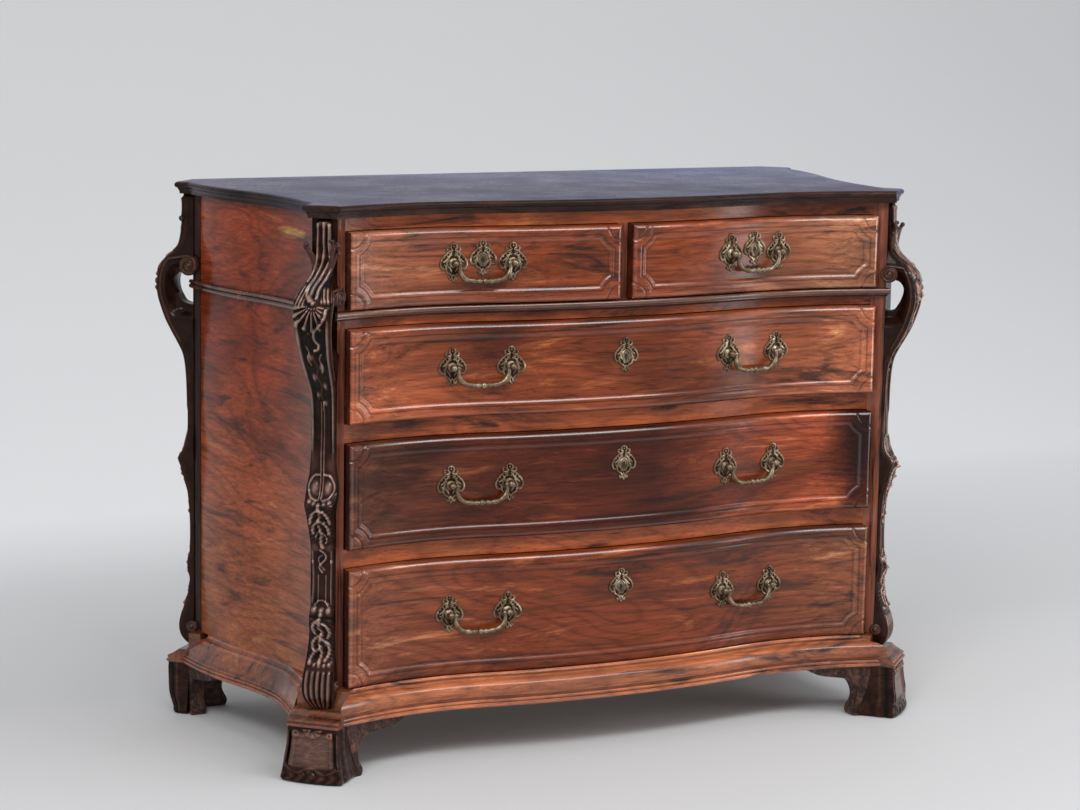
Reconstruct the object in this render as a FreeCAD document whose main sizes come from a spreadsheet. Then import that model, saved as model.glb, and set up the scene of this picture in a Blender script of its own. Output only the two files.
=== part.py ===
import FreeCAD, Part
import math
import os
from types import SimpleNamespace

# A chest of two short drawers over three long ones. Its front is a wave in plan, its sides are S-curves that
# spread towards the back, and its four corners are cut at 45 degrees and carry scroll pilasters.
# Frame: +X to the right of someone facing the chest, -Y to the front, +Z up. The floor is at zero, and the
# middle of the plan is at the origin.

# Driving dimensions, in millimetres
DIMENSIONS = {
    # Front wave: drawer fronts are farthest forward at the ends and middle, farthest back at the troughs
    "drawer_half_span": 520,
    "front_corner_depth": 258.6,
    "rear_corner_depth": 277.4,
    "drawer_end_lead": 13,
    "front_wave_depth": 29,
    "front_trough_offset": 350,
    "front_trough_radius": 590,
    # Corners: the middle of each canted ear of the top, seen from above
    "corner_reach": 50,
    "rear_corner_inset": 7,
    "ear_width": 70,
    "ear_length": 60,
    # Side curve of the top's edge: innermost near the front, outermost near the back
    "side_edge_inset": 2,
    "side_wave": 62,
    "side_trough_setback": 103,
    "side_crest_setback": 28,
    # Heights
    "foot_height": 95,
    "base_height": 57,
    "bottom_row_height": 208,
    "third_row_height": 184,
    "second_row_height": 163,
    "top_row_height": 133,
    "rail_height": 32,
    "frieze_height": 23,
    "top_thickness": 22,
    # Top board: moulded edge and overhangs
    "top_lead": 4,
    "top_edge_drop": 9,
    "top_edge_step": 7,
    "side_overhang": 22,
    "back_overhang": 23,
    # Carcass
    "post_face_inset": 16,
    "rear_post_face_inset": 32,
    "post_face_width": 40,
    "front_post_length": 78,
    "rear_post_length": 53,
    "rear_post_width": 48,
    "stile_gap": 2,
    "side_panel_thickness": 20,
    "rail_depth": 51,
    "rear_rail_depth": 30,
    "back_board_thickness": 12,
    "back_board_count": 5,
    "divider_thickness": 20,
    "runner_width": 52,
    "guide_height": 20,
    "dust_board_thickness": 8,
    # Drawers
    "drawer_proud": 25,
    "drawer_front_thickness": 42,
    "drawer_gap": 1.5,
    "drawer_border": 21,
    "drawer_corner_radius": 47,
    "field_sink": 3,
    "box_side_gap": 8,
    "box_top_gap": 14,
    "box_rear_gap": 14,
    "box_board_thickness": 12,
    "box_bottom_thickness": 8,
    "box_bottom_height": 8,
    "guide_gap": 1,
    # Mouldings
    "waist_projection": 20,
    "waist_side_projection": 10,
    "waist_thickness": 16,
    "base_projection": 43,
    "base_side_projection": 37,
    "corner_block_half_width": 47,
    "corner_block_projection": 32,
    "rear_block_projection": 14,
    "corner_block_lip": 4,
    "corner_block_slope": 26,
    "corner_block_depth": 75,
    "pilaster_seat_height": 33,
    "rear_pilaster_lean": 14,
    # Feet
    "foot_setback": 3,
    "foot_toe_projection": 44,
    "rear_toe_projection": 3,
    "foot_toe_spread": 11,
    "foot_toe_height": 6,
    "foot_block_depth": 35,
    "bracket_start": 55,
    "bracket_length": 108,
    "bracket_thickness": 26,
    "bracket_setback": 10,
    # Brass fittings
    "handle_offset": 269,
    "handle_spacing": 106,
    "handle_rise": 6,
    "plate_thickness": 3,
    "plate_half_width": 27,
    "plate_half_height": 33,
    "post_radius": 4.5,
    "post_head_radius": 6.5,
    "post_reach": 13,
    "pin_radius": 2.2,
    "pin_clearance": 0.09,
    "pin_engagement": 4,
    "pin_end_gap": 1,
    "tail_radius": 2.5,
    "tail_clearance": 0.3,
    "nut_radius": 6,
    "nut_thickness": 4,
    "nut_gap": 1,
    "tail_end": 2,
    "bail_radius": 3.4,
    "bail_drop": 34,
    "bail_corner_radius": 25,
    "bail_arm_inset": 11.2,
    "bail_bead_radius": 6,
    "escutcheon_half_width": 22,
    "escutcheon_half_height": 30,
    "escutcheon_rise_top": 13,
    "escutcheon_rise_second": 16,
    "escutcheon_rise_third": 29,
    "escutcheon_rise_bottom": 36,
    "keyhole_radius": 3,
    "lock_half_width": 30,
    "lock_height": 46,
    "lock_thickness": 11,
}

UP = FreeCAD.Vector(0, 0, 1)
ORIGIN = FreeCAD.Vector(0, 0, 0)
DIAGONAL = math.sqrt(0.5)
FAR = 400.0

document = FreeCAD.newDocument("chest")
sheet = document.addObject("Spreadsheet::Sheet", "Sizes")
for row_number, (alias, value) in enumerate(DIMENSIONS.items(), start=1):
    sheet.set(f"B{row_number}", str(value))
    sheet.setAlias(f"B{row_number}", alias)
document.recompute()
size = SimpleNamespace(**{alias: float(sheet.get(alias)) for alias in DIMENSIONS})
nodes = []


def point(x, y, z=0.0):
    return FreeCAD.Vector(x, y, z)


# Heights of the rows and rails, as numbers and as expressions on the sheet
ROWS = ("bottom", "third", "second", "top")
row_floor = {}
floor_expression = {}
level = size.foot_height + size.base_height
level_expression = "Sizes.foot_height + Sizes.base_height"
for row in ROWS:
    row_floor[row] = level
    floor_expression[row] = level_expression
    level += getattr(size, f"{row}_row_height") + size.rail_height
    level_expression += f" + Sizes.{row}_row_height + Sizes.rail_height"
base_top = row_floor["bottom"]
frieze_floor = level - size.rail_height
frieze_expression = level_expression + " - Sizes.rail_height"
case_top = frieze_floor + size.frieze_height
case_top_expression = frieze_expression + " + Sizes.frieze_height"
pilaster_floor = size.foot_height + size.pilaster_seat_height


# Front wave: one convex arc in the middle, tangent to a concave arc at each side
front_end_y = -(size.front_corner_depth + size.drawer_end_lead)
trough_run = size.drawer_half_span - size.front_trough_offset
trough_y = front_end_y + size.front_trough_radius - math.sqrt(size.front_trough_radius ** 2 - trough_run ** 2)
wave_radii = (size.front_trough_offset ** 2 + size.front_wave_depth ** 2) / (2 * size.front_wave_depth)
middle_radius = wave_radii - size.front_trough_radius
middle_centre_y = trough_y - size.front_wave_depth + middle_radius
trough_centre_y = trough_y - size.front_trough_radius


def front_joint_x(offset):
    """Where the middle arc meets a trough arc, for a curve that lies offset behind the drawer fronts."""
    return (middle_radius - offset) * size.front_trough_offset / wave_radii


def front_y(x, offset):
    """Front wave at x, offset behind the drawer fronts."""
    if abs(x) <= front_joint_x(offset):
        return middle_centre_y - math.sqrt((middle_radius - offset) ** 2 - x ** 2)
    run = abs(x) - size.front_trough_offset
    return trough_centre_y + math.sqrt((size.front_trough_radius + offset) ** 2 - run ** 2)


# Side curve of the left side: a concave arc at the front, tangent to a convex arc at the back
front_corner = point(-(size.drawer_half_span + size.corner_reach), -size.front_corner_depth)
side_trough = point(front_corner.x + size.side_edge_inset, front_corner.y + size.side_trough_setback)
side_crest = point(side_trough.x - size.side_wave, size.rear_corner_depth - size.side_crest_setback)
rear_corner = point(side_crest.x + size.rear_corner_inset, size.rear_corner_depth)
side_run = side_crest.y - side_trough.y
side_radius = (side_run ** 2 + size.side_wave ** 2) / (4 * size.side_wave)
side_trough_centre = point(side_trough.x - side_radius, side_trough.y)
side_crest_centre = point(side_crest.x + side_radius, side_crest.y)


def side_joint_y(inset):
    """Where the two arcs of a side meet, for a curve that lies inset from the top's edge."""
    return side_trough.y + (side_radius + inset) * side_run / (2 * side_radius)


def side_x(y, inset):
    """Left side curve at y, inset from the top's edge towards the inside."""
    if y <= side_joint_y(inset):
        return side_trough_centre.x + math.sqrt((side_radius + inset) ** 2 - (y - side_trough.y) ** 2)
    return side_crest_centre.x - math.sqrt((side_radius - inset) ** 2 - (y - side_crest.y) ** 2)


back_y = rear_corner.y + size.ear_width / 2 * DIAGONAL
case_back_y = back_y - size.back_overhang
back_inner_y = case_back_y - size.back_board_thickness
rear_rail_y = back_inner_y - size.rear_rail_depth
rail_back_y = trough_y + size.drawer_proud + size.rail_depth
stile_x = size.drawer_half_span + size.stile_gap
front_post_rear_y = front_corner.y + size.front_post_length
rear_post_front_y = rear_corner.y - size.rear_post_length
rear_post_inner_x = side_x(rear_post_front_y, size.side_overhang) + size.rear_post_width


# Curves and outlines
def arcs(curve, breaks):
    """Arcs of a curve between the given points along it."""
    edges = []
    for first, last in zip(breaks, breaks[1:]):
        edges.append(Part.Arc(curve(first), curve((first + last) / 2), curve(last)))
    return edges


def front_arcs(offset, left, right):
    joint = front_joint_x(offset)
    breaks = [left] + [x for x in (-joint, joint) if left < x < right] + [right]
    return arcs(lambda x: point(x, front_y(x, offset)), breaks)


def side_arcs(inset, front, rear):
    joint = side_joint_y(inset)
    breaks = [front] + [y for y in (joint,) if front < y < rear] + [rear]
    return arcs(lambda y: point(side_x(y, inset), y), breaks)


def lines(points):
    return [Part.LineSegment(first, last) for first, last in zip(points, points[1:])]


def mirrored(curves):
    """The same curves on the other side of the chest."""
    mirror = FreeCAD.Matrix()
    mirror.scale(-1, 1, 1)
    flipped = []
    for curve in curves:
        ends = [curve.value(u) for u in (curve.FirstParameter, curve.LastParameter)]
        if isinstance(curve, Part.LineSegment):
            flipped.append(Part.LineSegment(mirror.multVec(ends[0]), mirror.multVec(ends[1])))
        else:
            middle = curve.value((curve.FirstParameter + curve.LastParameter) / 2)
            flipped.append(Part.Arc(mirror.multVec(ends[0]), mirror.multVec(middle), mirror.multVec(ends[1])))
    return flipped


def face_of(curves):
    edges = [curve if isinstance(curve, Part.Edge) else curve.toShape() for curve in curves]
    return Part.Face(Part.Wire(Part.sortEdges(edges)[0]))


def closed_spline(points):
    curve = Part.BSplineCurve()
    curve.interpolate(Points=points, PeriodicFlag=True)
    return curve.toShape()


def open_spline(points):
    curve = Part.BSplineCurve()
    curve.interpolate(Points=points)
    return curve.toShape()


def front_outline(near, far, left, right):
    """Closed outline of a curved board between two offsets behind the drawer fronts."""
    near_arcs = front_arcs(near, left, right)
    far_arcs = front_arcs(far, left, right)
    ends = [lines([point(x, front_y(x, near)), point(x, front_y(x, far))])[0] for x in (left, right)]
    return near_arcs + far_arcs + ends


def front_slab(near, far, left, right, low, high):
    """Solid of that curved board between two heights."""
    slab = face_of(front_outline(near, far, left, right)).extrude(UP * (high - low))
    slab.translate(UP * low)
    return slab


def side_outline(near, far, front, rear):
    ends = [lines([point(side_x(y, near), y), point(side_x(y, far), y)])[0] for y in (front, rear)]
    return side_arcs(near, front, rear) + side_arcs(far, front, rear) + ends


def swept(profile, centre, radius, direction, first_degrees, last_degrees):
    """Moulding of a profile of (offset, height) points, carried round part of a circle."""
    corners = [point(radius + direction * offset, 0, height) for offset, height in profile]
    section = Part.Face(Part.makePolygon(corners + corners[:1]))
    section.rotate(ORIGIN, UP, first_degrees)
    solid = section.revolve(ORIGIN, UP, last_degrees - first_degrees)
    solid.translate(centre)
    return solid


def front_moulding(profile, half_length):
    """Moulding along the front wave; offsets are behind the drawer fronts."""
    lean = math.degrees(math.asin(size.front_trough_offset / wave_radii))
    reach = math.degrees(math.asin((half_length - size.front_trough_offset) / size.front_trough_radius))
    trough_centre = point(size.front_trough_offset, trough_centre_y)
    middle = swept(profile, point(0, middle_centre_y), middle_radius, -1, -90 - lean, -90 + lean)
    right = swept(profile, trough_centre, size.front_trough_radius, 1, 90 - reach, 90 + lean)
    left = right.mirror(ORIGIN, point(1, 0))
    return middle.fuse([left, right]).removeSplitter()


def side_moulding(profile, front, rear):
    """Moulding along the left side curve; offsets are inset from the top's edge."""
    lean = math.degrees(math.asin(side_run / (2 * side_radius)))
    front_reach = math.degrees(math.asin((side_trough.y - front) / side_radius))
    rear_reach = math.degrees(math.asin((rear - side_crest.y) / side_radius))
    near = swept(profile, side_trough_centre, side_radius, 1, -front_reach, lean)
    far = swept(profile, side_crest_centre, side_radius, -1, 180 - rear_reach, 180 + lean)
    return near.fuse(far).removeSplitter()


# Ways to add a sub-part to the document
def bind(item, expressions):
    for name, text in expressions.items():
        item.setExpression(name, text)


def kept(item):
    """Marks an object as a node of its own."""
    nodes.append(item)
    return item


def board(label, start, extent):
    """Straight board: expressions for its lowest corner and for its length, width and height."""
    item = document.addObject("Part::Box", label)
    bind(item, dict(zip(("Length", "Width", "Height"), extent)))
    bind(item, dict(zip(("Placement.Base.x", "Placement.Base.y", "Placement.Base.z"), start)))
    return item


def group(label, items):
    item = document.addObject("Part::Compound", label)
    item.Links = items
    return kept(item)


def padded(label, outline, low, height):
    """Board with a curved outline in plan: a sketch at the height low, padded by height."""
    body = document.addObject("PartDesign::Body", label)
    sketch = body.newObject("Sketcher::SketchObject", label + "_outline")
    plane = next(item for item in body.Origin.OriginFeatures if item.Role == "XY_Plane")
    sketch.AttachmentSupport = [(plane, "")]
    sketch.MapMode = "FlatFace"
    sketch.setExpression("AttachmentOffset.Base.z", low)
    for curve in outline:
        sketch.addGeometry(curve, False)
    pad = body.newObject("PartDesign::Pad", label + "_pad")
    pad.Profile = sketch
    pad.setExpression("Length", height)
    body.Tip = pad
    return kept(body)


def shaped(label, shape, placement=None):
    """Sub-part whose shape is worked out above from the sheet."""
    item = document.addObject("Part::Feature", label)
    item.Shape = shape
    if placement is not None:
        item.Placement = placement
    return kept(item)


# Corner pieces are drawn facing -Y, with the ear's face at y = 0, and turned to each corner
def turned(corner, degrees):
    return FreeCAD.Placement(corner, FreeCAD.Rotation(UP, degrees))


right_front_corner = point(-front_corner.x, front_corner.y)
right_rear_corner = point(-rear_corner.x, rear_corner.y)
CORNERS = {
    "front_left": turned(front_corner, -45),
    "front_right": turned(right_front_corner, 45),
    "rear_left": turned(rear_corner, -135),
    "rear_right": turned(right_rear_corner, 135),
}


def corner_box(half_width, out, back, low, high):
    """Block of a corner from out beyond the ear's face to back behind it."""
    box = Part.makeBox(2 * half_width, out + back, high - low, point(-half_width, -out, low))
    return box


def crossed(side_curves, front_curves, half_width, out, back):
    """Solid with one outline seen from the side, in (y, z), and another seen from the front, in (x, z)."""
    side = face_of(side_curves).extrude(point(2 * half_width, 0))
    side.translate(point(-half_width, 0))
    front = face_of(front_curves).extrude(point(0, out + back))
    front.translate(point(0, -out))
    return side.common(front)


def at_corner(shape, corner):
    placed = shape.copy()
    placed.Placement = CORNERS[corner].multiply(shape.Placement)
    return placed


# Top board: the upper part reaches the full outline, the lower part steps in all round
def top_slab(step, low, high):
    front_end = size.drawer_half_span + size.corner_reach / 5
    front_offset = step - size.top_lead
    side_front = front_corner.y + 0.55 * size.ear_width
    side_rear = rear_corner.y - 0.55 * size.ear_width
    rear_point = point(rear_corner.x + size.ear_width / 2 * DIAGONAL, back_y - step)
    left = side_arcs(step, side_front, side_rear)
    front_ends = [point(x, front_y(x, front_offset)) for x in (-front_end, front_end)]
    side_end = point(side_x(side_front, step), side_front)
    rear_end = point(side_x(side_rear, step), side_rear)
    corner_lines = lines([front_ends[0], side_end]) + lines([rear_end, rear_point])
    back = lines([rear_point, point(-rear_point.x, rear_point.y)])
    outline = front_arcs(front_offset, -front_end, front_end) + left + corner_lines + back
    outline += mirrored(left + corner_lines)
    slab = face_of(outline).extrude(UP * (high - low))
    slab.translate(UP * low)
    ear = corner_box(size.ear_width / 2 - step, -step, size.ear_length, low, high)
    ears = [at_corner(ear, corner) for corner in CORNERS]
    half_length = size.drawer_half_span + FAR
    behind = Part.makeBox(2 * half_length, FAR, high, point(-half_length, back_y - step))
    return slab.fuse(ears).cut(behind)


def top_board():
    top = case_top + size.top_thickness
    upper = top_slab(0, case_top + size.top_edge_drop, top)
    lower = top_slab(size.top_edge_step, case_top, case_top + size.top_edge_drop)
    shaped("top_board", upper.fuse(lower).removeSplitter())


# Carcass: posts, panels, rails and what the drawers run on
def corner_posts():
    half_step = size.post_face_width / 2 * DIAGONAL
    stile_y = front_end_y + size.drawer_proud
    middle = front_corner + point(1, 1) * (size.post_face_inset * DIAGONAL)
    first = middle + point(half_step, -half_step)
    last = middle + point(-half_step, half_step)
    stile_start = point(first.x + (stile_y - first.y), stile_y)
    return_y = front_corner.y + 0.64 * size.front_post_length
    return_end = point(last.x + (return_y - last.y), return_y)
    rear_outer = point(side_x(front_post_rear_y, size.side_overhang), front_post_rear_y)
    rear_inner = point(-stile_x, front_post_rear_y)
    stile_inner = point(-stile_x, stile_y)
    front_loop = [stile_inner, stile_start, first, last, return_end, rear_outer, rear_inner, stile_inner]

    middle = rear_corner + point(1, -1) * (size.rear_post_face_inset * DIAGONAL)
    last = middle - point(half_step, half_step)
    back_start = point(middle.x + case_back_y - middle.y, case_back_y)
    return_y = rear_corner.y - 0.85 * size.rear_post_length
    return_end = point(last.x + (last.y - return_y), return_y)
    front_outer = point(side_x(rear_post_front_y, size.side_overhang), rear_post_front_y)
    front_inner = point(rear_post_inner_x, rear_post_front_y)
    back_inner = point(rear_post_inner_x, case_back_y)
    rear_loop = [front_outer, return_end, last, back_start, back_inner, front_inner, front_outer]

    height = f"{case_top_expression} - ({floor_expression['bottom']})"
    for end, loop in (("front", front_loop), ("rear", rear_loop)):
        outline = lines(loop)
        padded(f"corner_post_{end}_left", outline, floor_expression["bottom"], height)
        padded(f"corner_post_{end}_right", mirrored(outline), floor_expression["bottom"], height)


def side_panels():
    outer = size.side_overhang
    inner = size.side_overhang + size.side_panel_thickness
    outline = side_outline(outer, inner, front_post_rear_y, rear_post_front_y)
    height = f"{case_top_expression} - ({floor_expression['bottom']})"
    padded("side_panel_left", outline, floor_expression["bottom"], height)
    padded("side_panel_right", mirrored(outline), floor_expression["bottom"], height)


def rail_outline():
    """Front rail: its face follows the wave behind the drawer fronts, its back is straight."""
    face = front_arcs(size.drawer_proud, -stile_x, stile_x)
    ends = [point(x, front_y(x, size.drawer_proud)) for x in (-stile_x, stile_x)]
    back = [point(-stile_x, rail_back_y), point(stile_x, rail_back_y)]
    return face + lines([ends[0], back[0], back[1], ends[1]])


def front_rails():
    outline = rail_outline()
    padded("rail_bottom", outline, "Sizes.foot_height", "Sizes.base_height")
    for name, row in (("lower", "third"), ("middle", "second"), ("upper", "top")):
        padded(f"rail_{name}", outline, f"{floor_expression[row]} - Sizes.rail_height", "Sizes.rail_height")
    padded("rail_top", outline, frieze_expression, "Sizes.frieze_height")


def drawer_divider():
    half = size.divider_thickness / 2
    face = front_arcs(size.drawer_proud, -half, half)
    ends = [point(x, front_y(x, size.drawer_proud)) for x in (-half, half)]
    back = [point(-half, rear_rail_y), point(half, rear_rail_y)]
    outline = face + lines([ends[0], back[0], back[1], ends[1]])
    padded("drawer_divider", outline, floor_expression["top"], "Sizes.top_row_height")


trough_run_expression = "(Sizes.drawer_half_span - Sizes.front_trough_offset)"
trough_rise = f"Sizes.front_trough_radius - sqrt(Sizes.front_trough_radius^2 - {trough_run_expression}^2)"
web_front = ("-Sizes.front_corner_depth - Sizes.drawer_end_lead + Sizes.drawer_proud + Sizes.rail_depth + "
             + trough_rise)
case_back = f"Sizes.rear_corner_depth + Sizes.ear_width / 2 * {DIAGONAL} - Sizes.back_overhang"
rear_rail_front = f"{case_back} - Sizes.back_board_thickness - Sizes.rear_rail_depth"
web_length = f"{rear_rail_front} - ({web_front})"
stile = "(Sizes.drawer_half_span + Sizes.stile_gap)"
web_half = f"({stile} - Sizes.runner_width)"


def web_frames():
    """Runners, guides, dust boards and rear rails, level with the front rails."""
    runners = []
    guides = []
    dust_boards = []
    rear_rails = []
    guide_width = "(Sizes.stile_gap + Sizes.box_side_gap - Sizes.guide_gap)"
    dust_low = "(Sizes.rail_height - Sizes.dust_board_thickness) / 2"
    rear_width = f"{2 * abs(rear_post_inner_x)}"
    for row in ROWS:
        floor = floor_expression[row]
        low = f"{floor} - Sizes.rail_height"
        for side, runner_x, guide_x in (
            ("left", f"-{stile}", f"-{stile}"),
            ("right", web_half, f"{stile} - {guide_width}"),
        ):
            name = f"{row}_{side}"
            extent = ("Sizes.runner_width", web_length, "Sizes.rail_height")
            runners.append(board(f"runner_{name}", (runner_x, web_front, low), extent))
            extent = (guide_width, web_length, "Sizes.guide_height")
            guides.append(board(f"guide_{name}", (guide_x, web_front, floor), extent))
        rear_x = f"-{rear_width} / 2"
        extent = (rear_width, "Sizes.rear_rail_depth", "Sizes.rail_height")
        rear_rails.append(board(f"rear_rail_{row}", (rear_x, rear_rail_front, low), extent))
    extent = (rear_width, "Sizes.rear_rail_depth", "Sizes.frieze_height")
    rear_rails.append(board("rear_rail_frieze", (rear_x, rear_rail_front, frieze_expression), extent))
    low = f"{floor_expression['top']} - Sizes.rail_height"
    extent = ("Sizes.runner_width", web_length, "Sizes.rail_height")
    runners.append(board("runner_middle", ("-Sizes.runner_width / 2", web_front, low), extent))
    for row in ("third", "second"):
        start = (f"-{web_half}", web_front, f"{floor_expression[row]} - Sizes.rail_height + {dust_low}")
        extent = (f"2 * {web_half}", web_length, "Sizes.dust_board_thickness")
        dust_boards.append(board(f"dust_board_{row}", start, extent))
    for side, dust_x in (("left", f"-{web_half}"), ("right", "Sizes.runner_width / 2")):
        start = (dust_x, web_front, f"{low} + {dust_low}")
        extent = (f"{web_half} - Sizes.runner_width / 2", web_length, "Sizes.dust_board_thickness")
        dust_boards.append(board(f"dust_board_top_{side}", start, extent))
    group("drawer_runners", runners)
    group("drawer_guides", guides)
    group("dust_boards", dust_boards)
    group("rear_rails", rear_rails)
    start = (f"-{web_half}", web_front, f"{floor_expression['bottom']} - Sizes.rail_height + {dust_low}")
    extent = (f"2 * {web_half}", web_length, "Sizes.dust_board_thickness")
    kept(board("bottom_board", start, extent))


def back_boards():
    """Upright boards between the rear posts."""
    count = int(size.back_board_count)
    width = f"{2 * abs(rear_post_inner_x)} / Sizes.back_board_count"
    boards = []
    for number in range(count):
        x = f"{-abs(rear_post_inner_x)} + {number} * {width}"
        y = f"{case_back} - Sizes.back_board_thickness"
        low = f"{floor_expression['bottom']} - Sizes.rail_height"
        extent = (width, "Sizes.back_board_thickness", f"{case_top_expression} - ({low})")
        boards.append(board(f"back_board_{number + 1}", (x, y, low), extent))
    group("back_boards", boards)


# Base: corner blocks, mouldings between them, feet and brackets
def corner_block(out, post_inset):
    """Block that the corner post and its pilaster stand on, with a lip round its foot and a sloping top."""
    low = size.foot_height
    lip = size.corner_block_lip
    slope = size.corner_block_slope
    profile = [
        (size.corner_block_depth, low), (lip - out, low), (-out, low + 0.5 * lip), (-out, low + 1.5 * lip),
        (lip - out, low + 2.25 * lip), (0.7 * slope - out, low + 4.5 * lip), (slope - out, pilaster_floor),
        (post_inset, pilaster_floor), (post_inset, base_top), (size.corner_block_depth, base_top),
        (size.corner_block_depth, low),
    ]
    face = Part.Face(Part.makePolygon([point(0, y, z) for y, z in profile]))
    half = size.corner_block_half_width
    block = face.extrude(point(2 * half, 0))
    block.translate(point(-half, 0))
    return block


# Base mouldings: distance behind the outer edge, and share of the base's height below its top
FRONT_BASE_PROFILE = (
    (19, 0), (15, 0.09), (11, 0.14), (10, 0.21), (0, 0.35), (-3, 0.49), (1, 0.65), (6, 0.74), (6, 0.81),
    (3, 0.84), (3, 0.96), (5, 1),
)
SIDE_BASE_PROFILE = (
    (37, 0), (34, 0.11), (24, 0.23), (8, 0.63), (4, 0.77), (0, 0.81), (0, 0.95), (3, 1),
)


def base_profile(drawn, edge, inner):
    """Closed profile of a base moulding between its outer edge and the inner face it is fixed to."""
    outer = [(edge + step, base_top - share * size.base_height) for step, share in drawn]
    return [(inner, base_top)] + outer + [(inner, size.foot_height)]


def base_parts():
    rail = face_of(rail_outline()).extrude(UP * size.base_height)
    rail.translate(UP * size.foot_height)
    inside_x = abs(rear_post_inner_x)
    rear_space = Part.makeBox(2 * inside_x, FAR, FAR, point(-inside_x, rear_rail_y, 0))
    runner_space = Part.makeBox(2 * stile_x, FAR, FAR, point(-stile_x, rail_back_y, 0))
    front_block = corner_block(size.corner_block_projection, size.post_face_inset)
    rear_block = corner_block(size.rear_block_projection, size.rear_post_face_inset)
    blocks = []
    for corner in CORNERS:
        block = front_block if corner.startswith("front") else rear_block
        blocks.append(at_corner(block, corner).cut(rail).cut(rear_space).cut(runner_space))
    corner_space = corner_box(size.corner_block_half_width, FAR, size.corner_block_depth, 0, FAR)
    solid_corners = [at_corner(corner_space, corner) for corner in CORNERS]
    profile = base_profile(FRONT_BASE_PROFILE, size.drawer_proud - size.base_projection, size.drawer_proud)
    front = front_moulding(profile, stile_x)
    inner = size.side_overhang + size.side_panel_thickness
    profile = base_profile(SIDE_BASE_PROFILE, size.side_overhang - size.base_side_projection, inner)
    left = side_moulding(profile, front_post_rear_y, rear_post_front_y)
    for solid_corner in solid_corners:
        front = front.cut(solid_corner)
        left = left.cut(solid_corner)
    right = left.mirror(ORIGIN, point(1, 0))
    shaped("base_corner_blocks", Part.makeCompound(blocks))
    shaped("base_moulding", Part.makeCompound([front, left, right]))


FOOT_FLARE = ((1, 0), (0.7, 0.12), (0.43, 0.42), (0.17, 0.83))


def foot_block(out, toe):
    """Canted foot that widens from the block above it to a toe just over the floor."""
    top = size.foot_height
    toe_z = size.foot_toe_height
    half = size.corner_block_half_width
    spread = half + size.foot_toe_spread
    side_curve = [point(0, -out - share * (toe - out), up * top) for up, share in FOOT_FLARE]
    side_curve.append(point(0, -toe, toe_z))
    side = [open_spline(side_curve)] + lines([
        side_curve[-1], point(0, 0.7 * toe_z - toe, 0), point(0, size.foot_block_depth, 0),
        point(0, size.foot_block_depth, top), side_curve[0],
    ])
    front = []
    for sign in (-1, 1):
        flare = [point(sign * (half + share * (spread - half)), 0, up * top) for up, share in FOOT_FLARE]
        flare.append(point(sign * spread, 0, toe_z))
        front += [open_spline(flare)] + lines([flare[-1], point(sign * (spread - 0.7 * toe_z), 0, 0)])
    floor_end = spread - 0.7 * toe_z
    front += lines([point(-floor_end, 0, 0), point(floor_end, 0, 0)])
    front += lines([point(-half, 0, top), point(half, 0, top)])
    return crossed(side, front, FAR, FAR, FAR)


def bracket_outline(place):
    """Cyma outline of a foot bracket: place turns a distance from the foot and a height into a point."""
    reach = size.bracket_length
    top = size.foot_height
    shares = ((0.15, 0), (0.19, 0.11), (0.11, 0.31), (0.12, 0.54), (0.2, 0.69), (0.4, 0.78), (0.66, 0.82),
              (0.86, 0.88), (1, 1))
    curve = open_spline([place(along * reach, up * top) for along, up in shares])
    start = -0.5 * reach
    rest = lines([place(reach, top), place(start, top), place(start, 0), place(0.15 * reach, 0)])
    return face_of([curve] + rest)


def feet():
    front_foot = foot_block(size.corner_block_projection - size.foot_setback, size.foot_toe_projection)
    rear_foot = foot_block(size.rear_block_projection - size.foot_setback, size.rear_toe_projection)
    placed = []
    for corner in CORNERS:
        foot = front_foot if corner.startswith("front") else rear_foot
        placed.append(at_corner(foot, corner))
        shaped(f"foot_{corner}", foot, CORNERS[corner])
    front_near = size.drawer_proud - size.base_projection + size.bracket_setback
    front_far = front_near + size.bracket_thickness
    side_near = size.side_overhang - size.base_side_projection + size.bracket_setback
    side_far = side_near + size.bracket_thickness
    front_start = front_corner.x + size.bracket_start
    front_slot = front_slab(front_near, front_far, front_corner.x, 0, 0, size.foot_height)
    front = bracket_outline(lambda d, z: point(front_start + d, -2 * FAR, z)).extrude(point(0, 2 * FAR))
    side_slot = side_outline(side_near, side_far, front_corner.y, rear_corner.y)
    side_slot = face_of(side_slot).extrude(UP * size.foot_height)
    front_side_start = front_corner.y + size.bracket_start
    rear_side_start = rear_corner.y - size.bracket_start
    across = point(3 * FAR, 0)
    front_side = bracket_outline(lambda d, z: point(-3 * FAR, front_side_start + d, z)).extrude(across)
    rear_side = bracket_outline(lambda d, z: point(-3 * FAR, rear_side_start - d, z)).extrude(across)
    rear_start = rear_corner.x + size.bracket_start
    rear = bracket_outline(lambda d, z: point(rear_start + d, case_back_y, z))
    rear = rear.extrude(point(0, -size.bracket_thickness))
    left = [front.common(front_slot), front_side.common(side_slot), rear_side.common(side_slot), rear]
    brackets = []
    for shape in left:
        for foot_shape in placed:
            shape = shape.cut(foot_shape)
        solid = max(shape.Solids, key=lambda piece: piece.Volume)
        brackets += [solid, solid.mirror(ORIGIN, point(1, 0))]
    shaped("foot_brackets", Part.makeCompound(brackets))


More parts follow.
